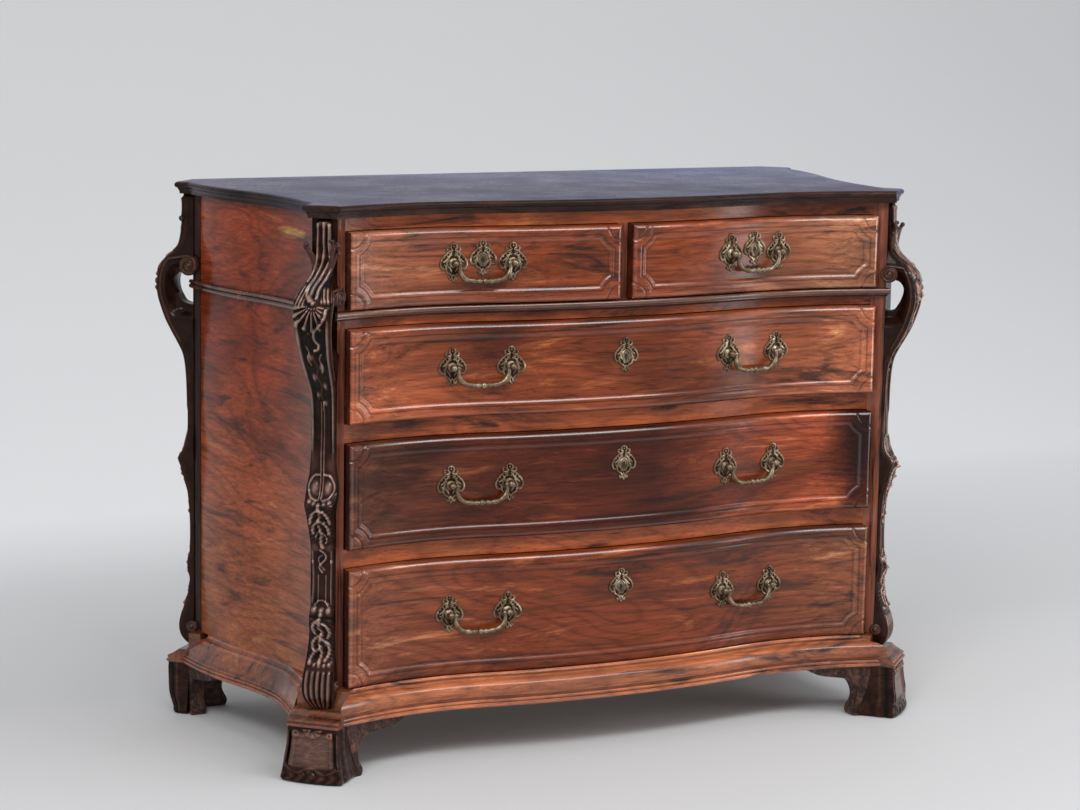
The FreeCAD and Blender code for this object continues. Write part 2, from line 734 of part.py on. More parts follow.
# Pilasters: distance beyond the ear's face, and half width, at heights measured from the top of the case
PILASTER_PROFILE = (
    (-6, 0), (-9, 14), (-9, 30), (-7, 42), (-8, 55), (-6, 75), (3, 95), (20, 110), (32, 125), (39, 140),
    (43, 156), (44, 172), (42, 190), (37, 208), (29, 231), (18, 253), (6, 273), (-2, 290), (-6, 310),
    (-8, 340), (-9, 390), (-9, 440), (-5, 460), (2, 472), (12, 486), (8, 502), (1, 525), (-5, 550),
    (-9, 585), (-9, 635), (-7, 660), (-2, 678), (-3, 692), (-7, 710), (-4, 732), (3, 755), (10, 775),
    (13, 792), (11, 812), (4, 831),
)
PILASTER_HALF_WIDTH = (
    (13, 0), (14, 14), (14, 49), (16, 79), (24, 109), (33, 130), (33, 160), (31, 198), (26, 259), (22, 311),
    (22, 388), (25, 430), (29, 459), (24, 500), (20, 576), (19, 634), (21, 665), (22, 690), (25, 740),
    (28, 784), (27, 810), (22, 831),
)
PILASTER_OPENING = ((4, 201), (22, 186), (27, 168), (19, 153), (3, 147))


def pilaster(back, lean):
    """Scroll board with its opening behind the belly, drawn facing -Y with the ear's face at y = 0.

    Its back lies at the given depth, and its foot is set back by lean.
    """
    height = case_top - pilaster_floor
    drawn_height = PILASTER_PROFILE[-1][1]

    def place(across, reach, drop):
        share = drop / drawn_height
        return point(across, lean * share - reach, case_top - height * share)

    outer = [place(0, reach, drop) for reach, drop in PILASTER_PROFILE]
    behind = [outer[-1], point(0, back, pilaster_floor), point(0, back, case_top), outer[0]]
    side = [open_spline(outer)] + lines(behind)
    front = []
    ends = []
    for sign in (-1, 1):
        curve = [point(sign * half, 0, place(0, 0, drop).z) for half, drop in PILASTER_HALF_WIDTH]
        front.append(open_spline(curve))
        ends.append((curve[0], curve[-1]))
    front += lines([ends[0][0], ends[1][0]]) + lines([ends[0][1], ends[1][1]])
    board_shape = crossed(side, front, FAR, FAR, FAR)
    edge = [place(-FAR, reach, drop) for reach, drop in PILASTER_OPENING]
    low_end = point(-FAR, 2 * back, edge[0].z)
    high_end = point(-FAR, 2 * back, edge[-1].z)
    opening = face_of([open_spline(edge)] + lines([edge[-1], high_end, low_end, edge[0]]))
    return board_shape.cut(opening.extrude(point(2 * FAR, 0)))


def pilasters():
    front = pilaster(size.post_face_inset, 0)
    rear = pilaster(size.rear_post_face_inset, size.rear_pilaster_lean)
    for corner, placement in CORNERS.items():
        shaped(f"pilaster_{corner}", front if corner.startswith("front") else rear, placement)


def waist_moulding():
    """Ledge on the upper rail and along the sides."""
    top = row_floor["top"] - 1
    drop = size.waist_thickness
    lead = size.drawer_proud - size.waist_projection
    front_profile = [
        (size.drawer_proud, top), (lead + 4, top), (lead, top - 0.3 * drop), (lead, top - 0.6 * drop),
        (lead + 5, top - 0.9 * drop), (lead + 12, top - drop), (size.drawer_proud, top - drop),
    ]
    between_posts = Part.makeBox(2 * stile_x, FAR, top, point(-stile_x, -FAR, 0))
    front = front_moulding(front_profile, stile_x).common(between_posts)
    wall = size.side_overhang
    nose = wall - size.waist_side_projection
    side_profile = [
        (wall, top), (nose + 4, top), (nose, top - 0.2 * drop), (nose + 3, top - 0.5 * drop),
        (nose, top - 0.8 * drop), (nose + 4, top - drop), (wall, top - drop),
    ]
    run = rear_post_front_y - front_post_rear_y
    beside_panel = Part.makeBox(2 * FAR, run, top, point(-2 * FAR, front_post_rear_y, 0))
    left = side_moulding(side_profile, front_post_rear_y, rear_post_front_y).common(beside_panel)
    shaped("waist_moulding", Part.makeCompound([front, left, left.mirror(ORIGIN, point(1, 0))]))


# Drawers
divider_clear = size.divider_thickness / 2 + 1
handle_pair = (-size.handle_offset, size.handle_offset)
DRAWERS = {
    "top_left": ("top", -size.drawer_half_span, -divider_clear, handle_pair[:1]),
    "top_right": ("top", divider_clear, size.drawer_half_span, handle_pair[1:]),
    "second": ("second", -size.drawer_half_span, size.drawer_half_span, handle_pair),
    "third": ("third", -size.drawer_half_span, size.drawer_half_span, handle_pair),
    "bottom": ("bottom", -size.drawer_half_span, size.drawer_half_span, handle_pair),
}


def keyhole(x, z):
    """Round hole with a slot under it, right through the drawer front."""
    radius = size.keyhole_radius
    hole = Part.makeCylinder(radius, 2 * FAR, point(x, -2 * FAR, z), point(0, 1))
    slot = Part.makeBox(radius, 2 * FAR, 3 * radius, point(x - radius / 2, -2 * FAR, z - 3 * radius))
    return hole.fuse(slot)


def drawer_front(low, high, left, right, lock_x, lock_z):
    """Curved front with a sunk field; the field's corners are cut by circles about the drawer's corners."""
    front = front_slab(0, size.drawer_front_thickness, left, right, low, high)
    border = size.drawer_border
    field = Part.makeBox(right - left - 2 * border, FAR, high - low - 2 * border,
                         point(left + border, -FAR, low + border))
    for x in (left, right):
        for z in (low, high):
            corner = Part.makeCylinder(size.drawer_corner_radius, FAR, point(x, -FAR, z), point(0, 1))
            field = field.cut(corner)
    field = field.common(front_slab(-FAR / 4, size.field_sink, left, right, low, high))
    return front.cut(field).cut(keyhole(lock_x, lock_z))


PLATE_OUTLINE = (
    (0, 1), (0.4, 0.72), (0.36, 0.42), (1, 0.2), (0.9, -0.25), (0.45, -0.45), (0.5, -0.75), (0, -0.92),
)


def plate(x, z, half_width, half_height):
    """Cast plate with a shaped outline that lies on the drawer's field."""
    right = [(u * half_width, v * half_height) for u, v in PLATE_OUTLINE]
    left = [(-u, v) for u, v in reversed(right[1:-1])]
    outline = closed_spline([point(x + u, -FAR, z + v) for u, v in right + left])
    prism = face_of([outline]).extrude(point(0, FAR))
    back = size.field_sink
    left_x = x - 2 * half_width
    right_x = x + 2 * half_width
    low = z - 2 * half_height
    high = z + 2 * half_height
    return prism.common(front_slab(back - size.plate_thickness, back, left_x, right_x, low, high))


def handle_frame(x, z):
    """Ends of a bail's axis, its direction and the direction away from the drawer."""
    half = size.handle_spacing / 2
    feet_points = [point(x + side * half, front_y(x + side * half, size.field_sink), z) for side in (-1, 1)]
    along = (feet_points[1] - feet_points[0]).normalize()
    out = point(along.y, -along.x)
    return feet_points, along, out


def ball(radius, centre):
    """Sphere whose seam faces the front, clear of the pins and stems that enter it."""
    sphere = Part.makeSphere(radius, centre)
    sphere.rotate(centre, UP, -90)
    return sphere


def tail_holes(x, z):
    """Holes through the drawer front for the threaded tails of a handle's posts."""
    feet_points, along, out = handle_frame(x, z)
    radius = size.tail_radius + size.tail_clearance
    return [Part.makeCylinder(radius, FAR / 4, foot + out * size.post_reach, -out) for foot in feet_points]


def nut(centre, along, out):
    """Hexagonal nut on the inside of a drawer front."""
    corners = []
    for turn in range(7):
        angle = math.radians(60 * turn)
        corners.append(centre + (along * math.cos(angle) + UP * math.sin(angle)) * size.nut_radius)
    return Part.Face(Part.makePolygon(corners)).extrude(-out * size.nut_thickness)


def handle_mounts(x, z):
    """Two plates, each with a post whose head holds one end of the bail and whose tail has a nut inside."""
    feet_points, along, out = handle_frame(x, z)
    nut_depth = size.drawer_front_thickness - size.field_sink + size.nut_gap
    mounts = []
    for side, foot in zip((-1, 1), feet_points):
        base = plate(foot.x, z, size.plate_half_width, size.plate_half_height)
        stem_depth = size.plate_thickness / 3
        stem_start = foot + out * stem_depth
        stem = Part.makeCylinder(size.post_radius, size.post_reach - stem_depth, stem_start, out)
        head_centre = foot + out * size.post_reach
        head = Part.makeSphere(size.post_head_radius, head_centre, out)
        bore_radius = size.pin_radius + size.pin_clearance
        bore_start = head_centre - along * (side * size.bail_arm_inset)
        bore_length = size.bail_arm_inset + size.pin_engagement + size.pin_end_gap
        bore = Part.makeCylinder(bore_radius, bore_length, bore_start, along * side)
        tail_length = stem_depth + nut_depth + size.nut_thickness + size.tail_end
        tail = Part.makeCylinder(size.tail_radius, tail_length, stem_start, -out)
        inner_nut = nut(foot - out * nut_depth, along, out)
        mounts.append(base.fuse([stem, head, tail, inner_nut]).cut(bore).removeSplitter())
    return mounts


def bail_placement(x, z):
    """Middle of a bail's axis, turned to lie along it."""
    feet_points, along, out = handle_frame(x, z)
    middle = (feet_points[0] + feet_points[1]) * 0.5 + out * size.post_reach
    return turned(middle, math.degrees(math.atan2(along.y, along.x)))


def bail(x, z):
    """Drooping handle with a bead in the middle and a pin at each end, drawn along X."""
    feet_points, along, out = handle_frame(x, z)
    arm = feet_points[0].distanceToPoint(feet_points[1]) / 2 - size.bail_arm_inset
    drop = size.bail_drop
    turn = size.bail_corner_radius

    def rod(start, finish):
        return Part.makeCylinder(size.bail_radius, start.distanceToPoint(finish), start, finish - start)

    shape = rod(point(turn - arm, 0, -drop), point(arm - turn, 0, -drop))
    for side in (-1, 1):
        end = point(side * arm, 0)
        corner = point(side * arm, 0, turn - drop)
        shape = shape.fuse(rod(end, corner))
        section = Part.Face(Part.Wire(Part.makeCircle(size.bail_radius, corner, UP)))
        shape = shape.fuse(section.revolve(point(side * (arm - turn), 0, turn - drop), point(0, side), 90))
    shape = shape.fuse(Part.makeSphere(size.bail_bead_radius, point(0, 0, -drop), point(1, 0)))
    for side in (-1, 1):
        end = point(side * arm, 0)
        shape = shape.fuse(ball(size.bail_radius + 0.4, end))
        length = size.bail_arm_inset + size.pin_engagement
        shape = shape.fuse(Part.makeCylinder(size.pin_radius, length, end, point(side, 0)))
    return shape.removeSplitter()


def lock(x, z):
    """Lock case on the inside of the drawer front."""
    back = size.drawer_front_thickness
    half = size.lock_half_width
    low = z - size.lock_height / 2
    return front_slab(back, back + size.lock_thickness, x - half, x + half, low, low + size.lock_height)


def drawer_box(name, row, left, right):
    """Two sides, a back and a bottom; the sides and bottom meet the curved inner face of the drawer front."""
    low = f"{floor_expression[row]} + Sizes.drawer_gap"
    height = f"Sizes.{row}_row_height - Sizes.drawer_gap - Sizes.box_top_gap"
    start = "-Sizes.front_corner_depth - Sizes.drawer_end_lead"
    rear = f"{rear_rail_front} - Sizes.box_rear_gap"
    length = f"{rear} - ({start})"
    thickness = "Sizes.box_board_thickness"
    left_x = f"{left} + Sizes.box_side_gap"
    right_x = f"{right} - Sizes.box_side_gap"
    clear_width = f"({right_x} - ({left_x}) - 2 * {thickness})"
    skin = document.addObject("Part::Feature", f"front_clearance_{name}")
    skin.Shape = front_slab(-FAR / 4, size.drawer_front_thickness, -stile_x, stile_x, 0, 4 * FAR)

    def against_front(label, corner, extent):
        blank = board(f"{label}_blank", corner, extent)
        item = document.addObject("Part::Cut", label)
        item.Base = blank
        item.Tool = skin
        return item

    sides = []
    for side, x in (("left", left_x), ("right", f"{right_x} - {thickness}")):
        extent = (thickness, length, height)
        sides.append(against_front(f"drawer_side_{name}_{side}", (x, start, low), extent))
    inner_x = f"{left_x} + {thickness}"
    extent = (clear_width, thickness, height)
    back = board(f"drawer_back_{name}", (inner_x, f"{rear} - {thickness}", low), extent)
    group(f"drawer_{name}_box", sides + [back])
    bottom_low = f"{low} + Sizes.box_bottom_height"
    extent = (clear_width, f"{length} - {thickness}", "Sizes.box_bottom_thickness")
    kept(against_front(f"drawer_{name}_bottom", (inner_x, start, bottom_low), extent))


def drawers():
    for name, (row, left, right, handles) in DRAWERS.items():
        row_height = getattr(size, f"{row}_row_height")
        low = row_floor[row] + size.drawer_gap
        high = row_floor[row] + row_height - size.drawer_gap
        middle = row_floor[row] + row_height / 2
        handle_z = middle + size.handle_rise
        lock_x = handles[0] if len(handles) == 1 else 0
        lock_z = middle + getattr(size, f"escutcheon_rise_{row}")
        front = drawer_front(low, high, left, right, lock_x, lock_z)
        for handle in handles:
            front = front.cut(tail_holes(handle, handle_z))
        shaped(f"drawer_{name}_front", front)
        drawer_box(name, row, left, right)
        escutcheon = plate(lock_x, lock_z, size.escutcheon_half_width, size.escutcheon_half_height)
        fittings = [escutcheon.cut(keyhole(lock_x, lock_z)), lock(lock_x, lock_z)]
        for handle in handles:
            fittings += handle_mounts(handle, handle_z)
        shaped(f"drawer_{name}_fittings", Part.makeCompound(fittings))
        for handle in handles:
            side = "" if len(handles) == 1 else ("_left" if handle < 0 else "_right")
            shaped(f"bail_{name}{side}", bail(handle, handle_z), bail_placement(handle, handle_z))


top_board()
corner_posts()
side_panels()
front_rails()
drawer_divider()
web_frames()
back_boards()
waist_moulding()
base_parts()
feet()
pilasters()
drawers()
document.recompute()

for item in document.Objects:
    if "Invalid" in item.State or "Error" in item.State:
        raise RuntimeError(f"{item.Label} failed: {item.State}")
for item in nodes:
    if item.Shape.isNull() or not item.Shape.isValid():
        raise RuntimeError(f"{item.Label} has no valid shape")

os.makedirs("parts", exist_ok=True)
for item in nodes:
    item.Shape.exportStep(os.path.join("parts", f"{item.Label}.step"))
print(len(nodes), "nodes")
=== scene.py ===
import math

import bmesh
import bpy
import numpy as np
from mathutils import Matrix, Vector


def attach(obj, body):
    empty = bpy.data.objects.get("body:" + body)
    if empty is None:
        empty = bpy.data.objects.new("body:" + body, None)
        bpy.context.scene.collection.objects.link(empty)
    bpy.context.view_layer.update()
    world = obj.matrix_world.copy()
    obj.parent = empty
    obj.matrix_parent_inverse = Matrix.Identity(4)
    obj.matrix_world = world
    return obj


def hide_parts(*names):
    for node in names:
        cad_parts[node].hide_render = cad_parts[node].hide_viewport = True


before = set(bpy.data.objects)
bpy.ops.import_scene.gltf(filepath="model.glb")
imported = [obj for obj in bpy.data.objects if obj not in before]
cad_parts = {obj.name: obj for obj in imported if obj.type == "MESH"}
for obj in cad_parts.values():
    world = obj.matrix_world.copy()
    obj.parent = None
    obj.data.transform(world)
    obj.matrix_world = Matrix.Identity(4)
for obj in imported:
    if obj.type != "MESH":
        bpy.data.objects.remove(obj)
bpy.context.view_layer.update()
scene = bpy.context.scene
MM = 0.001

# Plan of the chest, in millimetres, with the same sizes as the solids
HALF_SPAN = 520.0
FRONT_END_Y = -271.6
WAVE_DEPTH = 29.0
TROUGH_OFFSET = 350.0
TROUGH_RADIUS = 590.0
FRONT_THICKNESS = 42.0
FIELD_SINK = 3.0
SIDE_TROUGH = (-568.0, -155.6)
SIDE_CREST = (-630.0, 249.4)
SIDE_OVERHANG = 22.0
PANEL_THICKNESS = 20.0
FRONT_POST_REAR_Y = -180.6
REAR_POST_FRONT_Y = 224.4
STILE_X = 522.0
EAR_HALF_WIDTH = 35.0
TOP_LEAD = 4.0
FOOT_HEIGHT = 95.0
BASE_TOP = 152.0
CASE_TOP = 959.0
TOP_HEIGHT = 981.0
PILASTER_FLOOR = 121.0
ROWS = {"bottom": (152.0, 360.0), "third": (392.0, 576.0), "second": (608.0, 771.0), "top": (803.0, 936.0)}
DIVIDER_HALF_WIDTH = 11.0
DRAWER_GAP = 1.5
HANDLE_OFFSET = 269.0
HANDLE_HALF_SPACING = 53.0
HANDLE_RISE = 6.0
POST_REACH = 13.0
LOCK_RISE = {"bottom": 36.0, "third": 29.0, "second": 16.0, "top": 13.0}
FRONT_CORNER = (-570.0, -258.6)
REAR_CORNER = (-623.0, 277.4)
CORNERS = {
    "front_left": (FRONT_CORNER, -45.0),
    "front_right": ((-FRONT_CORNER[0], FRONT_CORNER[1]), 45.0),
    "rear_left": (REAR_CORNER, -135.0),
    "rear_right": ((-REAR_CORNER[0], REAR_CORNER[1]), 135.0),
}
POST_INSET = {"front": 16.0, "rear": 32.0}
BACK_Y = REAR_CORNER[1] + EAR_HALF_WIDTH * math.sqrt(0.5)


def arc(radius, away):
    """Height of a circle over its centre, at a distance from its axis."""
    return math.sqrt(radius ** 2 - away ** 2)


wave_radii = (TROUGH_OFFSET ** 2 + WAVE_DEPTH ** 2) / (2 * WAVE_DEPTH)
middle_radius = wave_radii - TROUGH_RADIUS
trough_y = FRONT_END_Y + TROUGH_RADIUS - arc(TROUGH_RADIUS, HALF_SPAN - TROUGH_OFFSET)
middle_centre_y = trough_y - WAVE_DEPTH + middle_radius
trough_centre_y = trough_y - TROUGH_RADIUS
side_run = SIDE_CREST[1] - SIDE_TROUGH[1]
side_wave = SIDE_TROUGH[0] - SIDE_CREST[0]
side_radius = (side_run ** 2 + side_wave ** 2) / (4 * side_wave)


def front_y(x, offset):
    """Front wave at x, offset behind the drawer fronts."""
    if abs(x) <= (middle_radius - offset) * TROUGH_OFFSET / wave_radii:
        return middle_centre_y - arc(middle_radius - offset, x)
    return trough_centre_y + arc(TROUGH_RADIUS + offset, abs(x) - TROUGH_OFFSET)


def side_x(y, inset):
    """Left side curve at y, inset from the top's edge."""
    joint = SIDE_TROUGH[1] + (side_radius + inset) * side_run / (2 * side_radius)
    if y <= joint:
        return SIDE_TROUGH[0] - side_radius + arc(side_radius + inset, y - SIDE_TROUGH[1])
    return SIDE_CREST[0] + side_radius - arc(side_radius - inset, y - SIDE_CREST[1])


def corner_point(corner, w, t, z):
    """Point at w across a canted corner, t beyond its ear and height z."""
    (cx, cy), turn = CORNERS[corner]
    angle = math.radians(turn)
    x = cx + w * math.cos(angle) + t * math.sin(angle)
    y = cy + w * math.sin(angle) - t * math.cos(angle)
    return Vector((x, y, z))


def end_of(corner):
    return corner.split("_")[0]


# Smooth helper functions for profiles and carving
def smooth_step(value, low, high):
    share = np.clip((value - low) / (high - low), 0.0, 1.0)
    return share * share * (3 - 2 * share)


def window(value, low, high, soft):
    """One between low and high, falling smoothly to zero at both ends."""
    return smooth_step(value, low, low + soft) * (1 - smooth_step(value, high - soft, high))


def hump(value, middle, reach):
    """Rounded ridge of height one."""
    share = np.clip((value - middle) / reach, -1.0, 1.0)
    return (1 - share * share) ** 2


def smooth_table(table):
    """Smooth curve through (position, value) pairs with rising positions."""
    spots = [float(a) for a, b in table]
    values = [float(b) for a, b in table]
    last = len(table) - 1
    slopes = []
    for i in range(len(table)):
        before = max(0, i - 1)
        after = min(last, i + 1)
        slopes.append((values[after] - values[before]) / (spots[after] - spots[before]))

    def curve(position):
        if position <= spots[0]:
            return values[0]
        if position >= spots[-1]:
            return values[-1]
        i = next(k for k in range(last) if position <= spots[k + 1])
        run = spots[i + 1] - spots[i]
        s = (position - spots[i]) / run
        rise = values[i + 1] - values[i]
        bend = s * (1 - s) * ((slopes[i] * run - rise) * (1 - s) - (slopes[i + 1] * run - rise) * s)
        return values[i] + rise * s + bend

    return curve


def spline_points(points, steps):
    """Points along a smooth curve through the given ones."""
    stops = [Vector(p) for p in points]
    padded = [2 * stops[0] - stops[1]] + stops + [2 * stops[-1] - stops[-2]]
    path = []
    for i in range(1, len(padded) - 2):
        a, b, c, d = padded[i - 1:i + 3]
        for k in range(steps):
            s = k / steps
            square = 2 * a - 5 * b + 4 * c - d
            cube = 3 * b - a - 3 * c + d
            path.append(0.5 * (2 * b + (c - a) * s + square * s * s + cube * s * s * s))
    return path + [stops[-1]]


def circle(centre, first, second, radius, sides):
    """Points round a centre, in the plane of two directions."""
    angles = [2 * math.pi * k / sides for k in range(sides)]
    return [centre + (first * math.cos(angle) + second * math.sin(angle)) * radius for angle in angles]


PLAIN_SHADE = 0.5
MERGE_DISTANCE = 0.00001


class Shape:
    """Points and faces of one piece, in millimetres; shade is a point's painted shade and wear."""

    def __init__(self):
        self.points = []
        self.shades = []
        self.faces = []

    def add(self, points, shades=None):
        start = len(self.points)
        self.points += [Vector(p) for p in points]
        self.shades += list(shades) if shades else [PLAIN_SHADE] * len(points)
        return list(range(start, start + len(points)))

    def grid(self, rows, closed=False, shades=None):
        """Surface through rows of points; closed joins the two ends of every row."""
        ids = [self.add(row, shades[i] if shades else None) for i, row in enumerate(rows)]
        count = len(rows[0])
        for low, high in zip(ids, ids[1:]):
            for k in range(count if closed else count - 1):
                after = (k + 1) % count
                self.faces.append((low[k], low[after], high[after], high[k]))
        return ids

    def loft(self, rings, shades=None):
        """Closed solid through rings of points."""
        ids = self.grid(rings, True, shades)
        self.faces.append(tuple(reversed(ids[0])))
        self.faces.append(tuple(ids[-1]))

    def tube(self, path, radii, sides):
        """Round rod along a path, with a radius at each point."""
        path = [Vector(p) for p in path]
        normal = None
        rings = []
        for i, spot in enumerate(path):
            ahead = path[min(i + 1, len(path) - 1)] - path[max(i - 1, 0)]
            ahead.normalize()
            if normal is None:
                normal = ahead.orthogonal().normalized()
            normal = (normal - ahead * normal.dot(ahead)).normalized()
            rings.append(circle(spot, normal, ahead.cross(normal), radii[i], sides))
        self.loft(rings)

    def lathe(self, base, axis, profile, sides=20):
        """Turned piece: profile holds (height along the axis, radius)."""
        axis = Vector(axis).normalized()
        first = axis.orthogonal().normalized()
        second = axis.cross(first)
        least = 0.01
        self.loft([circle(Vector(base) + axis * height, first, second, max(radius, least), sides)
                   for height, radius in profile])

    def ball(self, centre, radius, sides=16):
        angles = [math.pi * k / 10 for k in range(11)]
        self.lathe(centre, (0, 0, 1), [(-radius * math.cos(a), radius * math.sin(a)) for a in angles], sides)


def make_piece(name, shape, material, body, replaced=(), sharp_degrees=38.0):
    """Mesh object of a shape that rides on a body."""
    mesh = bpy.data.meshes.new(name)
    mesh.from_pydata([p * MM for p in shape.points], [], shape.faces)
    # The shades are kept as an attribute: painted shade in hollows and grooves, paler edges as painted
    # highlight and wear.
    painted_shade_and_wear = mesh.attributes.new("painted_shade_and_wear", "FLOAT", "POINT")
    painted_shade_and_wear.data.foreach_set("value", shape.shades)
    builder = bmesh.new()
    builder.from_mesh(mesh)
    bmesh.ops.remove_doubles(builder, verts=builder.verts, dist=MERGE_DISTANCE)
    bmesh.ops.recalc_face_normals(builder, faces=builder.faces)
    builder.to_mesh(mesh)
    builder.free()
    mesh.shade_smooth()
    mesh.set_sharp_from_angle(angle=math.radians(sharp_degrees))
    mesh.materials.append(material)
    item = bpy.data.objects.new(name, mesh)
    scene.collection.objects.link(item)
    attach(item, body)
    if replaced:
        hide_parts(*replaced)


# Materials
class Nodes:
    """Short ways to add and join shader nodes."""

    def __init__(self, name):
        self.material = bpy.data.materials.new(name)
        self.material.use_nodes = True
        self.tree = self.material.node_tree
        self.shader = self.tree.nodes["Principled BSDF"]

    def fill(self, node, inputs):
        """Set the inputs of a node; a value that is a socket is joined to its input."""
        for key, value in inputs.items():
            if isinstance(value, bpy.types.NodeSocket):
                self.tree.links.new(value, node.inputs[key])
            else:
                node.inputs[key].default_value = value

    def add(self, kind, inputs=None, **settings):
        node = self.tree.nodes.new(kind)
        for key, value in settings.items():
            setattr(node, key, value)
        self.fill(node, inputs or {})
        return node

    def mapping(self, scale, shift=(0, 0, 0), turn=(0, 0, 0)):
        """Object coordinates, moved, turned and scaled; one number scales all three axes."""
        inputs = {"Vector": self.add("ShaderNodeTexCoord").outputs["Object"], "Location": shift,
                  "Rotation": turn, "Scale": (scale,) * 3 if isinstance(scale, float) else scale}
        return self.add("ShaderNodeMapping", inputs).outputs["Vector"]

    def noise(self, scale, detail, rough=0.55, warp=0.0, shift=(0, 0, 0), turn=(0, 0, 0)):
        inputs = {"Vector": self.mapping(scale, shift, turn), "Scale": 1.0, "Detail": detail,
                  "Roughness": rough, "Distortion": warp}
        return self.add("ShaderNodeTexNoise", inputs).outputs["Fac"]

    def ramp(self, value, stops):
        """Colours at positions from 0 to 1; a single number is a grey."""
        node = self.add("ShaderNodeValToRGB", {"Fac": value})
        elements = node.color_ramp.elements
        while len(elements) < len(stops):
            elements.new(0.5)
        for element, (position, colour) in zip(elements, stops):
            element.position = position
            element.color = (*((colour,) * 3 if isinstance(colour, float) else colour), 1.0)
        return node.outputs["Color"]

    def mix(self, share, first, second, blend="MIX"):
        inputs = {0: share, 6: first, 7: second}
        return self.add("ShaderNodeMix", inputs, data_type="RGBA", blend_type=blend).outputs[2]

    def tint(self, colour, value, stops, share=1.0):
        """Colour multiplied by the tones of a ramp."""
        return self.mix(share, colour, self.ramp(value, stops), "MULTIPLY")

    def combine(self, operation, first, second):
        return self.add("ShaderNodeMath", {0: first, 1: second}, operation=operation).outputs[0]

    def rings(self, value, count):
        """Lines at equal steps of a value, rising and falling between 0 and 1."""
        return self.combine("PINGPONG", self.combine("MULTIPLY", value, count), 1.0)

    def painted_shade_and_wear(self):
        """Painted shade and wear of a point, from 0, darkest, in a groove to 1, palest, on an edge."""
        return self.add("ShaderNodeAttribute", attribute_name="painted_shade_and_wear").outputs["Fac"]

    def remap(self, value, low, high, first, last):
        return self.add("ShaderNodeMapRange", {0: value, 1: low, 2: high, 3: first, 4: last}).outputs[0]

    def along(self, axis, low, high):
        """Place along an axis, in metres, as a share of the way from low to high."""
        axes = self.add("ShaderNodeSeparateXYZ", {0: self.mapping(1.0)})
        return self.remap(axes.outputs[axis], low, high, 0.0, 1.0)

    def bump(self, height, strength, distance):
        inputs = {"Height": height, "Strength": strength, "Distance": distance}
        return self.add("ShaderNodeBump", inputs).outputs["Normal"]


SHEEN = {"Sheen Weight": 0.22, "Sheen Roughness": 0.3, "Sheen Tint": (0.30, 0.36, 1.0, 1.0)}


def polished_wood(name, grain, shift, dark=(0.045, 0.012, 0.005), middle=(0.205, 0.044, 0.014),
                  light=(0.410, 0.125, 0.040), streaks=0.5, gloss=0.15, shine=0.32, slope=0.0, takes_painted_shade=True,
                  patch=None, painted_light=None, sheen=False):
    """Rosewood with dark streaks; grain is the axis along which the figure runs, as 0, 1 or 2.

    A piece that takes painted shade is darker in its grooves, as painted shade, and paler on its edges, as
    wear and painted highlight. A patch is a place of pale sapwood. Painted light is painted reflection and
    painted shade along one axis: the axis, its ends and the tones between. Sheen is a bluish bloom on the
    polish.
    """
    n = Nodes(name)
    turn = [0.0, 0.0, 0.0]
    turn[1 if grain == 0 else 0] = slope

    def figured(along, across, detail, rough, warp=0.0):
        """Noise drawn out along the grain."""
        scale = [across, across, across]
        scale[grain] = along
        return n.noise(scale, detail, rough, warp, shift, turn)

    figure = figured(2.2, 20.0, 6.0, 0.64, 1.7)
    colour = n.ramp(figure, ((0.34, dark), (0.45, middle), (0.57, middle), (0.72, light)))
    growth = n.rings(figured(0.9, 5.0, 2.0, 0.45, 0.9), 36.0)
    ring_tones = ((0.0, (0.50, 0.43, 0.40)), (0.4, (0.95, 0.94, 0.92)), (1.0, (1.16, 1.15, 1.12)))
    colour = n.tint(colour, growth, ring_tones, 0.55)
    zones = figured(1.3, 3.4, 2.0, 0.5, 1.2)
    colour = n.tint(colour, zones, ((0.36, (0.40, 0.36, 0.34)), (0.50, 1.0), (0.66, (1.22, 1.20, 1.14))))
    bands = figured(1.1, 10.0, 5.0, 0.58, 2.2)
    colour = n.mix(n.remap(bands, 0.53, 0.63, 0.0, streaks), colour, (*dark, 1.0))
    lines = figured(7.0, 190.0, 3.0, 0.6, 0.3)
    colour = n.tint(colour, lines, ((0.30, (0.60, 0.57, 0.55)), (0.70, (1.14, 1.12, 1.08))))
    pores = figured(28.0, 620.0, 2.0, 0.5)
    colour = n.tint(colour, pores, ((0.34, (0.42, 0.38, 0.36)), (0.46, 1.0)), 0.55)
    if patch:
        place, reach = patch
        shrink = tuple(1.0 / r for r in reach)
        centred = n.mapping(shrink, tuple(-p * s for p, s in zip(place, shrink)))
        spot = n.add("ShaderNodeTexGradient", {"Vector": centred}, gradient_type="SPHERICAL")
        pale = n.ramp(lines, ((0.3, (0.40, 0.16, 0.030)), (0.7, (0.70, 0.40, 0.10))))
        ragged = n.combine("MULTIPLY", spot.outputs["Fac"], n.remap(figure, 0.35, 0.65, 0.3, 1.5))
        colour = n.mix(n.remap(ragged, 0.08, 0.5, 0.0, 0.9), colour, pale)
    # Painted light: painted reflection and painted shade along one axis.
    if painted_light:
        axis, low, high, tones = painted_light
        colour = n.tint(colour, n.along(axis, low, high), tones)
    # Painted shade in the grooves, and paler edges as painted highlight and wear.
    if takes_painted_shade:
        painted_shade_tones = ((0.0, (0.16, 0.13, 0.12)), (0.45, 1.0), (0.6, 1.0), (1.0, (1.5, 1.42, 1.36)))
        colour = n.tint(colour, n.painted_shade_and_wear(), painted_shade_tones)
    marks = n.noise(9.0, 5.0, 0.65, shift=shift)
    n.fill(n.shader, {
        "Base Color": colour,
        "Roughness": n.remap(marks, 0.25, 0.75, gloss - 0.06, gloss + 0.14),
        "Specular IOR Level": n.remap(n.painted_shade_and_wear(), 0.60, 0.82, shine, 1.0) if takes_painted_shade else shine,
        "Normal": n.bump(lines, 0.05, 0.0008),
    })
    if sheen:
        n.fill(n.shader, SHEEN)
    return n.material


